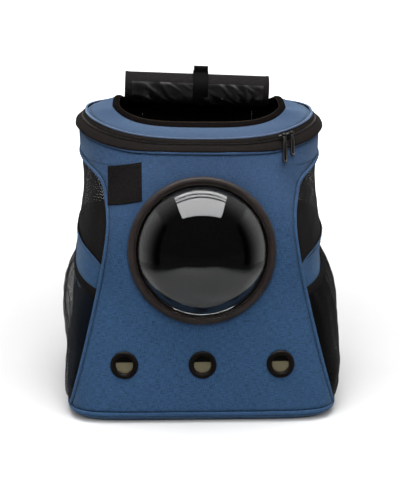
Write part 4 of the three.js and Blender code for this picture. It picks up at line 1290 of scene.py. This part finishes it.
def crumpled(x, along):
    """How far creases and the ease of its border push the rolled sheet out."""
    flat = np.stack([x, along, 0 * x], -1)
    slanted = np.stack([0.8 * x + 0.6 * along, 0.8 * along - 0.6 * x, 0 * x], -1)
    crease = np.clip(1 - 1.5 * np.abs(soft_waves(slanted * np.array([0.45, 1.3, 1]), 15, 91)), 0, 1)
    busy = 0.15 + 0.6 * np.exp(-(((x + 48) / 28) ** 2)) + 0.75 * np.exp(-(((x - 42) / 32) ** 2))
    return busy * (3.6 * crease**1.5 - 1.2 + 0.8 * soft_waves(flat, 13, 92)), 0.35 * soft_waves(flat, 60, 93)


def rolled_cover(looks):
    y, z, share = roll_path()
    section = np.stack([y, z], -1)
    ahead = unit(np.gradient(section, axis=0))
    out = np.stack([ahead[:, 1], -ahead[:, 0]], -1)
    x, along = np.meshgrid(np.linspace(-ROLL_LENGTH / 2, ROLL_LENGTH / 2, 132), share * ROLL_CLOTH)
    hem = ((share > 0.76) & (share < 0.85)) | (share > 0.985)
    border = (np.abs(x) > 88) | hem[:, None]
    crumple, ease = crumpled(x, along)
    push = np.where(border, ease, lerp(crumple - 0.9, 0, smooth(np.abs(x), 80, 89)))
    push = push * (smooth(share, 0.845, 0.89) * smooth(1.93 - share, 0, 0.3))[:, None]
    taper = 1 - 0.17 * smooth(share, 1, 1.4)
    points = roll_point(
        x * taper[:, None], y[:, None] + out[:, None, 0] * push, z[:, None] + out[:, None, 1] * push
    )
    sheet = Shape().grid(points, kind=np.where(border[:-1, :-1], 1, 0))
    obj = sheet.piece("rolled_cover", looks["flap_mesh"], looks["binding"])
    thicken(obj, COVER_WALL)
    place(obj, "black_mesh", "rolled_flap")
    length = float(distances(section)[-1])
    edges = Shape()
    outs = np.stack([0 * out[:, 0], out[:, 0], out[:, 1]], -1)
    for end in (0, -1):
        edges.sweep(points[:, end], outs, rounded(COVER_EDGE, 1.0, 3))
    place(edges.piece("cover_binding", looks["binding"]), "black_mesh")


def cover_strap(looks):
    angle = np.radians(np.linspace(-52, 203, 90))
    radius = ROLL_RADIUS + 1.3 + 0.25 * np.sin(angle * 5)
    path = roll_point(STRAP_PLACE, radius * np.cos(angle), radius * np.sin(angle))
    shape = Shape().sweep(path, path - roll_point(STRAP_PLACE, 0.0, 0.0), band_profile(20, 1.5))
    path = roll_point(STRAP_PLACE, *rounded(TAB, 1.8, 4, False).T)
    shape.sweep(path, path - roll_point(STRAP_PLACE, *TAB_MIDDLE), band_profile(19, 1.4))
    place(shape.piece("cover_strap", looks["cover_webbing"]), "black_cloth", "roll_strap")


# Window and vents
WINDOW_RING = [
    [94.5, 0.2], [94.5, 5.4], [93.2, 7.9], [90.2, 8.9], [87.0, 8.2], [86.3, 6.1], [85.7, 6.1],
    [85.3, 7.3], [84.3, 7.2], [84.0, 0.6], [89.3, 0.6], [89.3, -3.9], [90.7, -3.9], [90.7, 0.2],
]
# The three clips in the foot of the ring: their angles, distance from the middle and outline.
CLIP_ANGLES, CLIP_RADIUS = (-113.3, -90, -66.4), 85.7
CLIP = [[-6.5, -1.3], [6.5, -1.3], [5.4, 1.6], [-5.4, 1.6]]
# The bubble's rim radius, the height of its collar, its bulge above that, its wall and its flange.
BUBBLE_RIM, BUBBLE_COLLAR, BUBBLE_BULGE, BUBBLE_WALL, BUBBLE_FLANGE = 83.6, 7.5, 46.0, 2.2, 88.9
EYELET = [
    [18, 0.2], [18, 1.5], [16.4, 3.4], [13.4, 3.6], [11.3, 2.4], [11.2, -3.6], [13.4, -3.6], [13.4, 0.2],
]
VENT_MESH_RADIUS, VENT_MESH_WALL, VENT_MESH_STEPS = 11.15, 0.5, 48


def window_ring(looks):
    centre, axes = window_axes()
    ex, ey, en = axes
    ring = Shape().lathe(rounded(WINDOW_RING, 0.9, 4), centre, axes, 160)
    for angle in np.radians(CLIP_ANGLES):
        across = -math.sin(angle) * ex + math.cos(angle) * ey
        inward = -(math.cos(angle) * ex + math.sin(angle) * ey)
        middle = centre - inward * CLIP_RADIUS
        block(ring, middle, (across, np.cross(en, across), en), rounded(CLIP, 1.0, 3), 5.4, 8.3, 0.5)
    place(ring.piece("window_ring", looks["plastic"]), "black_plastic", "dome_ring")


def bubble(looks):
    rim, wall = BUBBLE_RIM, BUBBLE_WALL
    ball = (rim**2 + BUBBLE_BULGE**2) / (2 * BUBBLE_BULGE)

    def arc(radius, angle):
        return np.stack([
            radius * np.sin(angle), BUBBLE_COLLAR + BUBBLE_BULGE - ball + radius * np.cos(angle)
        ], -1)

    outer = arc(ball, np.linspace(math.asin(rim / ball), 0, 48))
    inner = arc(ball - wall, np.linspace(0, math.asin((rim - wall) / (ball - wall)), 48))
    flange = [[BUBBLE_FLANGE, -wall], [BUBBLE_FLANGE, 0], [rim + 0.3, 0], [rim, 0.5]]
    profile = np.concatenate([flange, outer, inner, [[rim - wall, -wall]]])
    dome = Shape().lathe(profile, *window_axes(), 128)
    place(dome.piece("bubble", looks["bubble"]), "clear_plastic", "dome")


def vents(looks):
    for k, (centre, axes) in enumerate(vent_places(), 1):
        ring = Shape().lathe(rounded(EYELET, 1.2, 4), centre, axes, 72)
        place(ring.piece(f"vent_eyelet_{k}", looks["eyelet"]), "black_plastic", f"vent_ring_{k}")
        radius = np.linspace(0, VENT_MESH_RADIUS, 14)[::-1]
        sag = -2.0 - 0.35 * np.cos(radius / VENT_MESH_RADIUS * np.pi / 2)
        angle = np.append(np.arange(VENT_MESH_STEPS) * TAU / VENT_MESH_STEPS, TAU)
        cloth = radius[:, None, None] * np.stack([np.cos(angle), np.sin(angle)], -1) * MM
        points = turned(np.stack([radius, sag], -1), centre, axes, VENT_MESH_STEPS)
        knit = Shape().grid(points, cloth, round_columns=True)
        single(knit, f"vent_knit_{k}", looks["vent_mesh"], VENT_MESH_WALL, "vent_mesh", f"vent_mesh_{k}")


# Patch
PATCH_WIDTH, PATCH_HEIGHT, PATCH_WALL = 43, 47, 1.3
PATCH_X, PATCH_Z, PATCH_SLOPE = -97, 300, math.tan(math.radians(12))
# Where the patch is stitched down, by shares of its width and height.
STITCH_LEFT, STITCH_RIGHT, STITCH_LOW, STITCH_HIGH = 0.055, 0.945, 0.05, 0.95


def patch_point(u, v, out):
    across, up = (u - 0.5) * PATCH_WIDTH, (v - 0.5) * PATCH_HEIGHT
    z = PATCH_Z + across * PATCH_SLOPE + up
    turn = on_side(-1, turn_at(-(PATCH_X + across), body_row(z)))
    return body_out(turn, z, out)


def patch(looks):
    u, v = np.meshgrid(np.linspace(0, 1, 44), np.linspace(0, 1, 48))
    edge = np.minimum(np.minimum(u, 1 - u) * PATCH_WIDTH, np.minimum(v, 1 - v) * PATCH_HEIGHT)
    out = 1.7 - 0.5 * np.exp(-((edge / 0.8) ** 2)) - 0.25 * np.exp(-(((edge - 2.4) / 0.7) ** 2))
    cloth = Shape().grid(patch_point(u, v, out))
    single(cloth, "bare_patch", looks["binding"], PATCH_WALL, "black_cloth", "label_patch")
    line = np.linspace(STITCH_LEFT, STITCH_RIGHT, 40)
    sides = (line, STITCH_LOW), (STITCH_RIGHT, line), (line[::-1], STITCH_HIGH), (STITCH_LEFT, line[::-1])
    runs = []
    for u, v in sides:
        points = patch_point(u, v, 1.6)
        runs.append((points, unit(patch_point(u, v, 3.0) - points)))
    place(beads("patch_stitches", runs, 2.6, (1.9, 0.55, 0.5), looks["black_thread"]), "black_cloth")


# Carrying straps: half width, height and distance off the back along each route
STRAP_ROUTE = np.array([
    [48, 331, 6.4], [50, 312, 7.4], [55, 285, 20], [63, 240, 37], [70, 190, 38], [77, 145, 29], [82, 116, 21],
])
BUCKLE_ROUTE = np.array([[82, 114, 20.5], [86, 100, 17], [88, 90, 14.5]])
WEB_ROUTE = np.array([[88.5, 88, 14], [98, 62, 8], [108, 36, 2.4], [112, 24, 1.6]])
BACKWARD = np.array([0, 1.0, 0])
PAD_WIDTH, PAD_THICKNESS, PAD_FILL = 50, 5.5, 0.6
# The pad's voxels, pressure, frames and most movement, and the share of movement kept along each axis.
PAD_VOXEL, PAD_PRESSURE, PAD_FRAMES, PAD_MOST = 0.005, 4.0, 20, 0.004
PAD_GIVE = np.array([0.1, 1, 0.1])
EDGING = [[3.0, 2.4], [-3.0, 2.4], [-3.0, -2.4], [3.0, -2.4]]
EDGING_PLACE = 23.6
RIBBON_LIFT = 5.4
BUCKLE = [[3, 17], [-3, 17], [-3, -17], [3, -17]]


def strap_path(side, route, count):
    """A smooth line down the back through rows of half width, height and distance out."""
    x, z, out = route.T
    turn = on_side(side, turn_at(x, body_row(z), True))
    points = body(turn, z) + np.stack([0 * out, out, 0 * out], -1)
    knots = np.concatenate([[0], np.cumsum(np.sqrt(np.linalg.norm(np.diff(points, axis=0), axis=1)))])
    table = np.concatenate([knots[:, None], points], 1)
    t = np.linspace(0, knots[-1], 400)
    fine = np.stack([column(table, k, t) for k in (1, 2, 3)], -1)
    length = distances(fine)
    places = np.linspace(0, length[-1], count)
    return np.stack([np.interp(places, length, fine[:, k]) for k in range(3)], -1)


def vertex_places(mesh):
    places = np.empty(len(mesh.vertices) * 3)
    mesh.vertices.foreach_get("co", places)
    return places.reshape(-1, 3)


def swollen(obj):
    """Even faces, then a short pressure simulation that crowns the pad."""
    even = obj.modifiers.new("even", "REMESH")
    even.mode, even.voxel_size = "VOXEL", PAD_VOXEL
    mesh = bpy.data.meshes.new_from_object(obj.evaluated_get(bpy.context.evaluated_depsgraph_get()))
    obj.modifiers.clear()
    cover = list(obj.data.materials)
    obj.data = mesh
    mesh.materials.clear()
    for look in cover:
        mesh.materials.append(look)
    start = vertex_places(mesh)
    puff = obj.modifiers.new("puff", "CLOTH")
    puff.settings.use_pressure = True
    puff.settings.uniform_pressure_force = PAD_PRESSURE
    puff.settings.effector_weights.gravity = 0
    scene = bpy.context.scene
    for step in range(1, PAD_FRAMES + 1):
        scene.frame_set(step)
    done = obj.evaluated_get(bpy.context.evaluated_depsgraph_get())
    move = (vertex_places(done.data) - start) * PAD_GIVE
    obj.modifiers.clear()
    scene.frame_set(1)
    size = np.linalg.norm(move, axis=1, keepdims=True)
    move *= np.minimum(1, PAD_MOST / np.maximum(size, 1e-9))
    mesh.vertices.foreach_set("co", (start + move).ravel())
    mesh.polygons.foreach_set("use_smooth", [True] * len(mesh.polygons))
    mesh.update()


def cover_cloth(obj):
    """Cloth coordinates in metres for a remeshed pad, laid on from behind."""
    mesh = obj.data
    layer = mesh.uv_layers.new(name="cloth")
    index = np.empty(len(mesh.loops), int)
    mesh.loops.foreach_get("vertex_index", index)
    layer.data.foreach_set("uv", vertex_places(mesh)[index][:, [0, 2]].astype(np.float32).ravel())


def strap_pad(name, side, looks):
    """The padded part of a strap, with its edging and the ribbon down its middle."""
    path = strap_path(side, STRAP_ROUTE, 70)
    shape = Shape().sweep(path, BACKWARD, band_profile(PAD_WIDTH, PAD_THICKNESS, 4))
    pad = shape.piece("strap_pad_" + name, looks["binding"], weld=0.01)
    swollen(pad)
    cover_cloth(pad)
    fine = pad.modifiers.new("fine", "SUBSURF")
    fine.levels = fine.render_levels = 1
    place(pad, "black_cloth", "shoulder_strap_" + name)
    tangent = unit(np.gradient(path, axis=0))
    across = unit(np.cross(tangent, BACKWARD))
    edging = Shape()
    for end in (-1, 1):
        edging.sweep((path + across * EDGING_PLACE * end)[1:-1], BACKWARD, rounded(EDGING, 1.6, 4))
    place(edging.piece("strap_edging_" + name, looks["webbing"]), "black_cloth")
    raised = path + np.cross(across, tangent) * RIBBON_LIFT
    ribbon = Shape().sweep(raised[4:], BACKWARD, band_profile(24, 1.4))
    place(ribbon.piece("strap_ribbon_" + name, looks["webbing"]), "black_cloth")


def strap_end(name, side, looks):
    """The webbing and the buckle at the foot of a strap."""
    web = Shape().sweep(strap_path(side, WEB_ROUTE, 40), BACKWARD, band_profile(25, 1.8))
    place(web.piece("webbing_" + name, looks["webbing"]), "black_cloth", "strap_webbing_" + name)
    clasp = strap_path(side, BUCKLE_ROUTE, 24)
    waist = 1 - 0.09 * np.sin(np.pi * np.linspace(0, 1, len(clasp))) ** 2
    sections = rounded(BUCKLE, 2.2, 5)[None] * np.stack([np.ones(len(clasp)), waist], -1)[:, None]
    buckle = Shape().sweep(clasp, BACKWARD, sections).piece("buckle_" + name, looks["plastic"], weld=0.01)
    soft = buckle.modifiers.new("soft", "BEVEL")
    soft.width, soft.segments, soft.limit_method = 0.0008, 3, "ANGLE"
    place(buckle, "black_plastic", "strap_buckle_" + name)


# Stitches: the share of the slope and the height of each row beside the zip
ZIP_STITCHES = ((0.0, 1.0), (0.385, 0.63), (0.61, 0.74), (0.805, 0.74))


def stitching(looks):
    turn = zip_turns(3.0)
    runs = [shoulder_run(turn, share, out) for share, out in ZIP_STITCHES]
    place(beads("zip_stitches", runs, 3.2, (2.3, 0.5, 0.4), looks["black_thread"]), "black_cloth")
    runs = []
    for _, side in SIDES:
        u = np.linspace(0.03, 0.97, 160)
        z = window_foot(u) - 4.0
        turn = on_side(side, side_turn(u, z))
        up = body_normal(turn, z)
        runs.append((body(turn, z) + up, up))
    place(beads("window_stitches", runs, 3.4, (2.5, 0.55, 0.45), looks["blue_thread"]), "blue_cloth")


# Stage
# Name, place, aim, width, depth, power, and whether the lamp shows in the bubble.
LAMPS = (
    ("softbox", (0.0, -0.327, 1.25), (0.0, -0.327, 0.2), 1.13, 0.574, 10.6, True),
    ("softbox_edge", (0.0, 0.0485, 1.25), (0.0, 0.0485, 0.2), 1.14, 0.055, 1.06, True),
    ("softbox_rim", (0.0, 0.183, 1.25), (0.0, 0.183, 0.2), 1.15, 0.100, 1.9, True),
    ("fill_left", (-2.3, -1.2, 0.9), (0, 0, 0.2), 0.9, 1.8, 5, False),
    ("fill_right", (2.3, -1.2, 0.9), (0, 0, 0.2), 0.9, 1.8, 5, False),
    ("front", (0.0, -3.0, 2.4), (0, 0, 0.15), 2.2, 1.2, 34, False),
    ("top", (0.0, 0.1, 1.7), (0.0, 0.1, 0.2), 1.0, 1.0, 7, False),
    ("key", (0.0, -1.15, 1.55), (0, -0.1, 0.25), 1.2, 0.8, 10, False),
)
FLOOR_REACH = 12
CARD_AWAY = 0.72
CARD_CORNERS = ((-0.45, -0.5), (0.7, -0.5), (0.7, 0.76), (-0.45, 0.76))
CAMERA_AIM, CAMERA_AWAY = Vector((0.0006, 0, 0.1937)), 2.25
CAMERA_TURN, CAMERA_RISE = math.radians(-1.57), math.radians(16.5)
CAMERA_SENSOR, CAMERA_LENS = 36, 123.65


def grey(value):
    return value, value, value, 1


def sheet_object(name, corners, material):
    """One flat face that is part of the stage."""
    mesh = bpy.data.meshes.new(name)
    mesh.from_pydata(corners, [], [(0, 1, 2, 3)])
    mesh.materials.append(material)
    obj = bpy.data.objects.new(name, mesh)
    bpy.context.scene.collection.objects.link(obj)
    return obj


def aimed(obj, at, aim):
    """Puts a lamp or camera at a place, facing another."""
    obj.location = at
    obj.rotation_euler = (Vector(aim) - Vector(at)).to_track_quat("-Z", "Y").to_euler()
    bpy.context.scene.collection.objects.link(obj)


def paper_floor():
    """White paper that glows away from the carrier, and is dark in front of it and beside it, out of view."""
    paper = Look("white_paper", Roughness=0.9, Specular_IOR_Level=0.0)
    x, y = paper.split(paper.place())[:2]
    away = (x * x + y * y) ** 0.5
    sheet = y.step(-1.1, -0.66) * (1 - ((x * x) ** 0.5 - y * 0.13).step(0.36, 0.6))
    paper.feed("Base Color", paper.mix(sheet, grey(0.02), grey(0.76)))
    paper.feed("Emission Color", paper.mix(away.step(0.3, 1.3) * sheet, grey(0.04), grey(1.1)))
    paper.feed("Emission Strength", 1.0)
    r = FLOOR_REACH
    floor = sheet_object("floor", [(-r, -r, 0), (r, -r, 0), (r, r, 0), (-r, r, 0)], paper.material)
    floor.visible_glossy = False


def lamps(light):
    for name, at, aim, width, depth, power, shows in LAMPS:
        lamp = bpy.data.lights.new(name, "AREA")
        lamp.shape, lamp.size, lamp.size_y = "RECTANGLE", width, depth
        lamp.energy = power * light
        holder = bpy.data.objects.new(name, lamp)
        holder.visible_glossy = holder.visible_transmission = shows
        aimed(holder, at, aim)


def reflectors():
    """A card on either side, which only shiny and clear pieces show: a soft strip in the bubble."""
    card = Look("reflector_card", Base_Color=grey(0), Specular_IOR_Level=0.0)
    shine = card.split(card.place())[1].step(-0.36, 0.14)
    card.feed("Emission Color", card.mix(shine, grey(0), grey(0.85)))
    card.feed("Emission Strength", 1.0)
    for name, side in SIDES:
        corners = [(side * CARD_AWAY, y, z) for y, z in CARD_CORNERS]
        obj = sheet_object("reflector_" + name, corners, card.material)
        obj.visible_camera = obj.visible_diffuse = obj.visible_shadow = False


def room_light():
    """A room that is brighter behind the carrier and above it."""
    world = bpy.data.worlds.new("studio")
    world.use_nodes = True
    room = Nodes(world.node_tree)
    _, behind, above = room.split(room.node("ShaderNodeTexCoord"))
    bright = behind.step(-0.3, 0.5) * (0.35 + above.step(0.05, 0.5) * 0.65)
    room.feed(world.node_tree.nodes["Background"].inputs["Color"], room.mix(bright, grey(0.03), grey(0.6)))
    bpy.context.scene.world = world


def stage(light):
    paper_floor()
    lamps(light)
    reflectors()
    room_light()
    scene = bpy.context.scene
    scene.view_settings.view_transform = "Standard"
    camera = bpy.data.cameras.new("camera")
    camera.sensor_width, camera.lens, camera.clip_end = CAMERA_SENSOR, CAMERA_LENS, 60
    scene.camera = bpy.data.objects.new("camera", camera)
    level = math.cos(CAMERA_RISE)
    direction = math.sin(CAMERA_TURN) * level, -math.cos(CAMERA_TURN) * level, math.sin(CAMERA_RISE)
    aimed(scene.camera, CAMERA_AIM + CAMERA_AWAY * Vector(direction), CAMERA_AIM)


# Add-on: settings, operators and panel
class CarrierSizes(bpy.types.PropertyGroup):
    """Sizes that a user may change."""

    wall: bpy.props.FloatProperty(
        name="Wall", description="Thickness of the body cloth with its lining", default=0.0022, unit="LENGTH")
    piping: bpy.props.FloatProperty(
        name="Piping", description="Radius of the body's corded seams", default=0.0021, unit="LENGTH")
    lid_piping: bpy.props.FloatProperty(
        name="Lid piping", description="Radius of the lid's corded seam", default=0.0015, unit="LENGTH")
    pull_left: bpy.props.FloatProperty(
        name="Left pull", description="Length of the left zip pull", default=0.036, unit="LENGTH")
    pull_right: bpy.props.FloatProperty(
        name="Right pull", description="Length of the right zip pull", default=0.030, unit="LENGTH")
    light: bpy.props.FloatProperty(
        name="Light", description="Strength of the studio lamps", default=1.0, subtype="FACTOR", min=0,
        soft_max=3)


def color_property(name, description, default):
    return bpy.props.FloatVectorProperty(
        name=name, description=description, default=default, subtype="COLOR", size=3, min=0, max=1)


class CarrierColours(bpy.types.PropertyGroup):
    """Colours that a user may change."""

    cloth: color_property("Cloth", "Colour of the woven body cloth", (0.0275, 0.0685, 0.145))
    binding: color_property("Binding", "Colour of bindings, webbing and mesh", (0.0072, 0.0064, 0.0062))
    vents: color_property("Vent mesh", "Colour of the mesh in the vents", (0.16, 0.14, 0.088))
    plastic: color_property("Plastic", "Colour of the window ring and vent rings", (0.024, 0.0182, 0.0164))
    metal: color_property("Metal", "Colour of the zip sliders and pulls", (0.06, 0.058, 0.057))


LOOKS = {}


def sizes():
    return bpy.context.scene.carrier_sizes


def all_looks():
    if not LOOKS:
        LOOKS.update(make_looks(bpy.context.scene.carrier_colours))
    return LOOKS


class CARRIER_OT_body(bpy.types.Operator):
    """Builds the woven panels of the body and its base"""

    bl_idname = "carrier.body"
    bl_label = "Body cloth"

    def execute(self, context):
        wall = sizes().wall / MM
        front_cloth(all_looks(), wall)
        for name, side in SIDES:
            side_cloth(name, side, all_looks(), wall)
        back_cloth(all_looks(), wall)
        base_cloth(all_looks(), wall)
        return {"FINISHED"}


class CARRIER_OT_sides(bpy.types.Operator):
    """Builds the mesh windows and the mesh pockets of both sides"""

    bl_idname = "carrier.sides"
    bl_label = "Side mesh"

    def execute(self, context):
        for name, side in SIDES:
            side_window(name, side, all_looks())
            pocket_bag(name, side, all_looks())
            pocket_hem(name, side, all_looks())
        return {"FINISHED"}


class CARRIER_OT_piping(bpy.types.Operator):
    """Builds the corded seams"""

    bl_idname = "carrier.piping"
    bl_label = "Piping"

    def execute(self, context):
        piping(all_looks(), sizes().piping / MM, sizes().lid_piping / MM)
        return {"FINISHED"}


class CARRIER_OT_zip(bpy.types.Operator):
    """Builds the zip band with its teeth, sliders and pulls"""

    bl_idname = "carrier.zip"
    bl_label = "Zip"

    def execute(self, context):
        zip_band(all_looks())
        lid_hinge(all_looks())
        for name, length in (("left", sizes().pull_left), ("right", sizes().pull_right)):
            zip_slider(name, SLIDER_PLACES[name], all_looks())
            zip_pull(name, SLIDER_PLACES[name], length / MM, all_looks())
        return {"FINISHED"}


class CARRIER_OT_lid(bpy.types.Operator):
    """Builds the lid and the binding of its mouth"""

    bl_idname = "carrier.lid"
    bl_label = "Lid"

    def execute(self, context):
        lid_cloth(all_looks(), sizes().wall / MM)
        mouth_binding(all_looks())
        return {"FINISHED"}


class CARRIER_OT_cover(bpy.types.Operator):
    """Builds the rolled mouth cover and its strap"""

    bl_idname = "carrier.cover"
    bl_label = "Rolled cover"

    def execute(self, context):
        rolled_cover(all_looks())
        cover_strap(all_looks())
        return {"FINISHED"}


class CARRIER_OT_window(bpy.types.Operator):
    """Builds the bubble window and the vents"""

    bl_idname = "carrier.window"
    bl_label = "Window and vents"

    def execute(self, context):
        window_ring(all_looks())
        bubble(all_looks())
        vents(all_looks())
        return {"FINISHED"}


class CARRIER_OT_patch(bpy.types.Operator):
    """Builds the bare sewn patch"""

    bl_idname = "carrier.patch"
    bl_label = "Patch"

    def execute(self, context):
        patch(all_looks())
        return {"FINISHED"}


class CARRIER_OT_straps(bpy.types.Operator):
    """Builds the padded carrying straps, their buckles and webbing"""

    bl_idname = "carrier.straps"
    bl_label = "Carrying straps"

    def execute(self, context):
        for name, side in SIDES:
            strap_pad(name, side, all_looks())
            strap_end(name, side, all_looks())
        return {"FINISHED"}


class CARRIER_OT_stitches(bpy.types.Operator):
    """Sews the zip tapes and the side windows"""

    bl_idname = "carrier.stitches"
    bl_label = "Stitches"

    def execute(self, context):
        stitching(all_looks())
        return {"FINISHED"}


class CARRIER_OT_stage(bpy.types.Operator):
    """Sets the floor, lamps and camera"""

    bl_idname = "carrier.stage"
    bl_label = "Stage"

    def execute(self, context):
        stage(sizes().light)
        return {"FINISHED"}


OPERATORS = (
    CARRIER_OT_stage, CARRIER_OT_body, CARRIER_OT_sides, CARRIER_OT_piping, CARRIER_OT_zip, CARRIER_OT_lid,
    CARRIER_OT_cover, CARRIER_OT_window, CARRIER_OT_patch, CARRIER_OT_straps, CARRIER_OT_stitches,
)


class CARRIER_PT_panel(bpy.types.Panel):
    """Lists the settings and the pieces"""

    bl_label = "Pet Carrier"
    bl_idname = "CARRIER_PT_panel"
    bl_space_type = "VIEW_3D"
    bl_region_type = "UI"
    bl_category = "Carrier"

    def draw(self, context):
        for group in (context.scene.carrier_sizes, context.scene.carrier_colours):
            for name in group.__annotations__:
                self.layout.prop(group, name)
        for operator in OPERATORS:
            self.layout.operator(operator.bl_idname)


CLASSES = (CarrierSizes, CarrierColours) + OPERATORS + (CARRIER_PT_panel,)


def register():
    for kind in CLASSES:
        bpy.utils.register_class(kind)
    bpy.types.Scene.carrier_sizes = bpy.props.PointerProperty(type=CarrierSizes)
    bpy.types.Scene.carrier_colours = bpy.props.PointerProperty(type=CarrierColours)


def unregister():
    del bpy.types.Scene.carrier_colours
    del bpy.types.Scene.carrier_sizes
    for kind in reversed(CLASSES):
        bpy.utils.unregister_class(kind)


def main():
    register()
    for operator in OPERATORS:
        group, name = operator.bl_idname.split(".")
        getattr(getattr(bpy.ops, group), name)()


if __name__ == "__main__":
    main()
